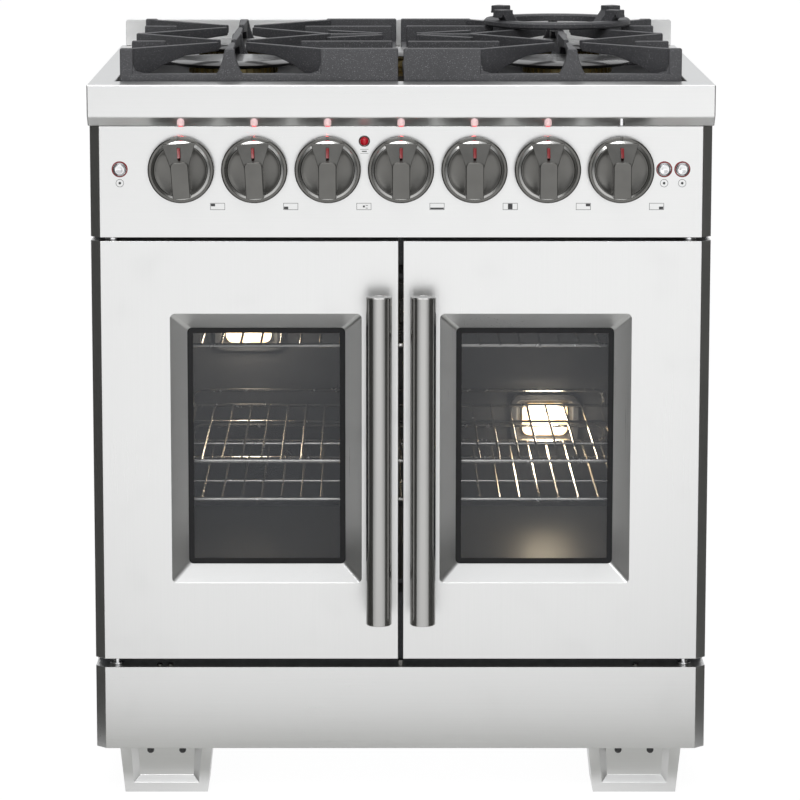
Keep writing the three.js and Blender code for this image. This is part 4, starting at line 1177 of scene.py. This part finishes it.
glass = clear_glass("door_pane_glass", (0.10, 0.105, 0.115), 0.24)
oven_enamel = oven_enamel_finish()
WINDOW_BEVEL = 0.0205
PANE_LIP = 0.008
DOOR_CHAMFER = 0.012
REAR_CHAMFER = 0.006
DOOR_SHEET = 0.0014
WINDOW_CORNER = 0.0045
PANE_BORDER = 0.0145
for label, side in (("left", -1), ("right", 1)):
    low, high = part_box(f"{label}_door_skin")
    pane_low, pane_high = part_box(f"{label}_door_glass")
    margin = WINDOW_BEVEL - PANE_LIP
    window = (pane_low.x - margin, pane_high.x + margin, pane_low.z - margin, pane_high.z + margin)
    skin = cube(f"{label}_door_sheet", low, high)
    for edge_y, width in ((low.y, DOOR_CHAMFER), (high.y, REAR_CHAMFER)):
        cut_edges(skin, width, 1, lambda place, run: abs(run.z) > 0.9 and near(place.y, edge_y)
                  and abs(place.x) > 0.3)
    for x in window[:2]:
        split_at(skin, (x, 0, 0), (1, 0, 0))
    for z in window[2:]:
        split_at(skin, (0, 0, z), (0, 0, 1))
    centre_x, centre_z = (window[0] + window[1]) / 2, (window[2] + window[3]) / 2
    centre = Vector((centre_x, low.y, centre_z))
    edit(skin, "FACE", lambda place, facing: facing.y < -0.9 and (place - centre).length < 0.02)
    wide, tall = window[1] - window[0], window[3] - window[2]
    bpy.ops.mesh.extrude_region_move(TRANSFORM_OT_translate={"value": (0, WINDOW_BEVEL, 0)})
    bpy.ops.transform.resize(value=((wide - 2 * WINDOW_BEVEL) / wide, 1, (tall - 2 * WINDOW_BEVEL) / tall))
    bpy.ops.mesh.delete(type="FACE")
    leave()
    cut_edges(skin, WINDOW_CORNER, 4, lambda place, run: min(map(abs, run)) > 0.3)
    edit(skin, "FACE", lambda place, facing: facing.y > 0.9 and near(place.y, high.y))
    bpy.ops.mesh.delete(type="FACE")
    leave()
    apply_modifier(skin, "SOLIDIFY", thickness=DOOR_SHEET, offset=-1, use_even_offset=True)
    soften(skin, 0.0011, 3, 30)
    fit(skin, f"{label}_door", "brushed_steel", steel_upright, f"{label}_door_skin")
    border_low = (pane_low.x, pane_low.y - 0.0004, pane_low.z)
    border_high = (pane_high.x, pane_low.y - 0.0001, pane_high.z)
    border = cube(f"{label}_pane_border", border_low, border_high)
    edit(border, "FACE", lambda place, facing: abs(facing.y) > 0.9)
    bpy.ops.mesh.inset(thickness=PANE_BORDER, use_even_offset=True)
    bpy.ops.mesh.bridge_edge_loops()
    leave()
    fit(border, f"{label}_door", "black_enamel", tray_enamel)
    finish_node(f"{label}_door_glass", glass)
    finish_node(f"{label}_door_inner_panel", oven_enamel)

# Handles: thick-walled tubes with flat plugged ends, each on two turned posts that pass
# through the door skin and are bolted from inside.
POST_FROM_END = 0.055
handle_metal = brushed("handle_satin_steel", (0.47, 0.465, 0.455), ALONG_Z, 0.17)
for label in ("left", "right"):
    low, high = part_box(f"{label}_door_handle")
    tube = (high.x - low.x) / 2
    centre_x, centre_y = (low.x + high.x) / 2, low.y + tube
    profile = [
        (0, low.z + 0.0004), (tube - 0.0042, low.z + 0.0004), (tube - 0.0038, low.z), (tube - 0.0012, low.z),
        (tube, low.z + 0.0012), (tube, high.z - 0.0012), (tube - 0.0012, high.z), (tube - 0.0038, high.z),
        (tube - 0.0042, high.z - 0.0004), (0, high.z - 0.0004),
    ]
    bar = lathe(f"{label}_handle_tube", profile, (centre_x, centre_y, 0), steps=96)
    parts = [bar]
    for z in (low.z + POST_FROM_END, high.z - POST_FROM_END):
        y = centre_y + 0.010
        foot = high.y
        profile = [
            (0, y), (0.0075, y), (0.0075, foot - 0.006), (0.0085, foot - 0.0045), (0.0110, foot - 0.003),
            (0.0115, foot - 0.0008), (0.0110, foot), (0, foot),
        ]
        parts.append(lathe("post", profile, (centre_x, 0, z), "Y", 40))
    handle = unite(f"{label}_handle_bar", parts)
    smooth(handle, 35)
    fit(handle, f"{label}_door", "dark_steel", handle_metal, f"{label}_door_handle")

# Front legs: folded stainless feet, wider at the top, with a bevelled recess in the face and
# two screws through the floor of the recess.
LEG_TAPER = 0.012
RECESS_MARGIN = 0.0120
RECESS_DEPTH = 0.0080
SCREW_ASIDE = 0.020
for label in ("left", "right"):
    low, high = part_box(f"front_{label}_leg")
    leg = cube(f"front_{label}_leg_sheet", low, high)
    edit(leg, "VERT", lambda place, facing: near(place.z, low.z))
    width = high.x - low.x
    bpy.ops.transform.resize(value=((width - LEG_TAPER) / width, 1, 1))
    leave()
    edit(leg, "FACE", lambda place, facing: facing.y < -0.9)
    bpy.ops.mesh.inset(thickness=RECESS_MARGIN, use_even_offset=True)
    bpy.ops.mesh.inset(thickness=RECESS_DEPTH, depth=-RECESS_DEPTH, use_even_offset=True)
    leave()
    inner_half = width / 2 - 0.009
    centre_x = (low.x + high.x) / 2
    rim_z, floor_edge_z = high.z - 0.012, high.z - 0.020
    move_vertices(
        leg, lambda place, facing: near(place.z, rim_z, 0.002) and near(place.y, low.y)
        and abs(place.x - centre_x) < inner_half, (0, 0, 0.0112),
    )
    move_vertices(
        leg, lambda place, facing: near(place.z, floor_edge_z, 0.003)
        and near(place.y, low.y + RECESS_DEPTH, 0.001), (0, 0, 0.0182),
    )
    soften(leg, 0.0007, 2, 25)
    fit(leg, "root", "brushed_steel", steel_across, f"front_{label}_leg")
    for number, shift in enumerate((-SCREW_ASIDE, SCREW_ASIDE)):
        seat = low.y + RECESS_DEPTH
        profile = [
            (0, seat - 0.0026), (0.0014, seat - 0.0026), (0.0014, seat - 0.0016), (0.0030, seat - 0.0022),
            (0.0042, seat - 0.0012), (0.0044, seat), (0, seat),
        ]
        spot = (centre_x + shift, 0, high.z - 0.0045)
        screw = lathe(f"front_{label}_leg_screw_{number + 1}", profile, spot, "Y", 24)
        smooth(screw, 40)
        fit(screw, "root", "black_rubber", ink)

# Oven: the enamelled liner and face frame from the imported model, a woven door seal, two
# halogen lamps in pressed surrounds, and a fan cover on the rear wall.
for name in ("oven_liner", "oven_face_frame"):
    finish_node(name, oven_enamel)


def seal_rope():
    """Braided black fibre."""
    finish = Finish("seal_braid", (0.03, 0.03, 0.03), Roughness=0.9)
    where = finish.place((900, 900, 900))
    braid = finish.node("ShaderNodeTexVoronoi", None, where, Scale=1.0)
    finish.feed(
        Base_Color=finish.mix(braid, (0.015, 0.015, 0.015), (0.07, 0.07, 0.068)),
        Normal=finish.bump(braid, 0.6, 0.0008),
    )
    return finish.material


finish_node("oven_gasket", seal_rope())
finish_node("power_gland", seal_rope())


def lit_lens():
    """Hot halogen light behind ribbed glass."""
    finish = Finish("lamp_lens_lit", (1.0, 0.90, 0.70), Roughness=0.1, Emission_Strength=3.2)
    ribs = finish.noise(90.0, 2.0)
    finish.feed(
        Base_Color=finish.mix(ribs, (0.95, 0.80, 0.55), (1, 0.95, 0.82)),
        Emission_Color=finish.mix(ribs.above(0.45, 0.2), (1.0, 0.62, 0.25), (1.0, 0.90, 0.66)),
    )
    return finish.material


lamp_glow = lit_lens()
lens_low, lens_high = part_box("oven_lamp_lens")
lamp_centre = (lens_low + lens_high) / 2
wall_y = lens_high.y
LAMP_STEP = 0.1235
LAMPS = {
    "lower": lamp_centre + Vector((0, 0, -0.0045)),
    "upper": Vector((-lamp_centre.x - 0.004, lamp_centre.y, lamp_centre.z + LAMP_STEP)),
}
for label, spot in LAMPS.items():
    surround_low = (spot.x - 0.046, wall_y - 0.008, spot.z - 0.034)
    surround_high = (spot.x + 0.046, wall_y + 0.0002, spot.z + 0.034)
    lamp_surround = cube(f"{label}_lamp_surround", surround_low, surround_high)
    cut_edges(lamp_surround, 0.014, 6, lambda place, run: abs(run.y) > 0.9)
    edit(lamp_surround, "FACE", lambda place, facing: facing.y < -0.9)
    bpy.ops.mesh.inset(thickness=0.008, depth=0.0)
    bpy.ops.mesh.inset(thickness=0.003, depth=-0.004)
    leave()
    soften(lamp_surround, 0.0008, 2, 30)
    fit(lamp_surround, "root", "oven_enamel", oven_enamel)
    glass_low = (spot.x - 0.031, wall_y - 0.0100, spot.z - 0.022)
    glass_high = (spot.x + 0.031, wall_y - 0.0045, spot.z + 0.022)
    lens = cube(f"{label}_lamp_glass", glass_low, glass_high)
    cut_edges(lens, 0.010, 5, lambda place, run: abs(run.y) > 0.9)
    soften(lens, 0.0015, 3, 30)
    fit(lens, "root", "lamp_glass", lamp_glow, *(("oven_lamp_lens",) if label == "lower" else ()))
    bpy.ops.object.light_add(type="POINT", location=(spot.x, wall_y - 0.045, spot.z))
    bulb = bpy.context.object
    bulb.name = f"{label}_lamp_light"
    bulb.data.energy = 0.50 if label == "lower" else 0.42
    bulb.data.color = (1.0, 0.86, 0.66)
    bulb.data.shadow_soft_size = 0.02

fan_y = wall_y
fan_spot = Vector((0, 0, lamp_centre.z + 0.06))
profile = [
    (0, fan_y - 0.012), (0.056, fan_y - 0.012), (0.064, fan_y - 0.009), (0.069, fan_y - 0.001),
    (0.074, fan_y - 0.001),
    (0.074, fan_y), (0, fan_y),
]
fan_cover = lathe("fan_cover", profile, fan_spot, "Y", 72)
cutters = []
for ring_radius, count in ((0.016, 6), (0.031, 12), (0.046, 18)):
    for step in range(count):
        angle = 2 * math.pi * step / count
        centre = fan_spot + Vector((ring_radius * math.cos(angle), 0, ring_radius * math.sin(angle)))
        drill = [(0, fan_y - 0.02), (0.0045, fan_y - 0.02), (0.0045, fan_y - 0.009), (0, fan_y - 0.009)]
        cutters.append(lathe("hole", drill, centre, "Y", 10))
cutter = join("cutter", cutters)
apply_modifier(fan_cover, "BOOLEAN", operation="DIFFERENCE", object=cutter, solver="EXACT")
bpy.data.objects.remove(cutter)
smooth(fan_cover, 35)
fit(fan_cover, "root", "oven_enamel", oven_enamel)


# Racks: welded bright wire. Longitudinal wires lie on a round frame and two cross wires,
# and the rear end turns up into a stop with rounded corners.
def wire(points, radius=0.0016, sides=8):
    """A round wire along a list of corner points, with mitred bends."""
    curve = bpy.data.curves.new("wire", "CURVE")
    curve.dimensions = "3D"
    curve.bevel_depth = radius
    curve.bevel_resolution = sides // 4
    curve.use_fill_caps = True
    line = curve.splines.new("POLY")
    line.points.add(len(points) - 1)
    for point, place in zip(line.points, points):
        point.co = (*place, 1)
    piece = bpy.data.objects.new("wire", curve)
    bpy.context.scene.collection.objects.link(piece)
    choose(piece)
    bpy.ops.object.convert(target="MESH")
    piece = bpy.context.object
    bpy.ops.object.mode_set(mode="EDIT")
    bpy.ops.mesh.select_all(action="SELECT")
    bpy.ops.mesh.remove_doubles(threshold=1e-6)
    bpy.ops.mesh.normals_make_consistent(inside=False)
    leave()
    return piece


def rounded(points, radius, steps=5):
    """Replaces the inner corners of a path by short arcs."""
    path = [Vector(points[0])]
    for before, corner, after in zip(points, points[1:], points[2:]):
        corner = Vector(corner)
        enter = corner + (Vector(before) - corner).normalized() * radius
        leave_at = corner + (Vector(after) - corner).normalized() * radius
        for step in range(steps + 1):
            share = step / steps
            path.append((1 - share) ** 2 * enter + 2 * share * (1 - share) * corner + share ** 2 * leave_at)
    path.append(Vector(points[-1]))
    return path


def wire_finish():
    finish = Finish("rack_wire_chrome", (0.70, 0.70, 0.69), Metallic=1.0)
    drawn = finish.noise(120.0, 3.0)
    finish.feed(
        Base_Color=finish.mix(drawn, (0.58, 0.57, 0.55), (0.80, 0.80, 0.79)),
        Roughness=drawn * 0.2 + 0.14,
    )
    return finish.material


rack_wire = wire_finish()
WIRE = 0.0017
FRAME_WIRE = 0.0025
for label in ("lower", "middle", "upper"):
    low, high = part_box(f"{label}_rack")
    z = low.z + 0.0025
    front_y, back_y = low.y + FRAME_WIRE, high.y - FRAME_WIRE
    left_x, right_x = low.x + FRAME_WIRE, high.x - FRAME_WIRE
    corner = 0.012
    outline = [
        (0, front_y, z), (left_x, front_y, z), (left_x, back_y, z), (0, back_y, z), (right_x, back_y, z),
        (right_x, front_y, z), (0, front_y, z),
    ]
    parts = [wire(rounded(outline, corner), FRAME_WIRE)]
    count = round((right_x - left_x) / 0.025)
    for step in range(1, count):
        x = left_x + (right_x - left_x) * step / count
        parts.append(wire([(x, front_y, z + 0.0006), (x, back_y, z + 0.0006)], WIRE))
        parts.append(wire([(x - 0.0012, front_y, z), (x + 0.0012, front_y, z)], FRAME_WIRE + 0.0007))
    for share in (0.3, 0.7):
        y = front_y + (back_y - front_y) * share
        parts.append(wire([(left_x, y, z - 0.0004), (right_x, y, z - 0.0004)], WIRE))
    stop_top = high.z - FRAME_WIRE
    stop = [
        (left_x + 0.020, back_y, z), (left_x + 0.020, back_y, stop_top), (right_x - 0.020, back_y, stop_top),
        (right_x - 0.020, back_y, z),
    ]
    parts.append(wire(rounded(stop, corner), FRAME_WIRE))
    rack = join(f"{label}_wire_rack", parts)
    smooth(rack, 40)
    fit(rack, f"{label}_rack_slide", "chrome_wire", rack_wire, f"{label}_rack")

# Stems and supply fittings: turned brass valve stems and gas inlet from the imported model.
turned_brass = brass_ring()
for name in KNOB_NAMES:
    finish_node(f"{name}_stem", turned_brass)
finish_node("gas_inlet", turned_brass)

# Door gap fittings: the centre catch, and small screws in the hinge rail under the doors.
catch_y = face_y + 0.010
catch_box = ((-0.0026, catch_y, kick_high.z), (0.0026, catch_y + 0.014, door_low.z - 0.0040))
catch = cube("door_catch", *catch_box)
soften(catch, 0.0008, 2)
fit(catch, "root", "dark_steel", knob_metal)
for number, x in enumerate((-0.300, -0.287, 0.293)):
    seat = kick_high.z
    profile = [
        (0, seat), (0.0036, seat), (0.0036, seat + 0.0012), (0.0024, seat + 0.0022), (0, seat + 0.0024),
    ]
    screw = lathe(f"hinge_rail_screw_{number + 1}", profile, (x, face_y + 0.012, 0), steps=20)
    smooth(screw, 40)
    fit(screw, "root", "dark_steel", knob_metal)
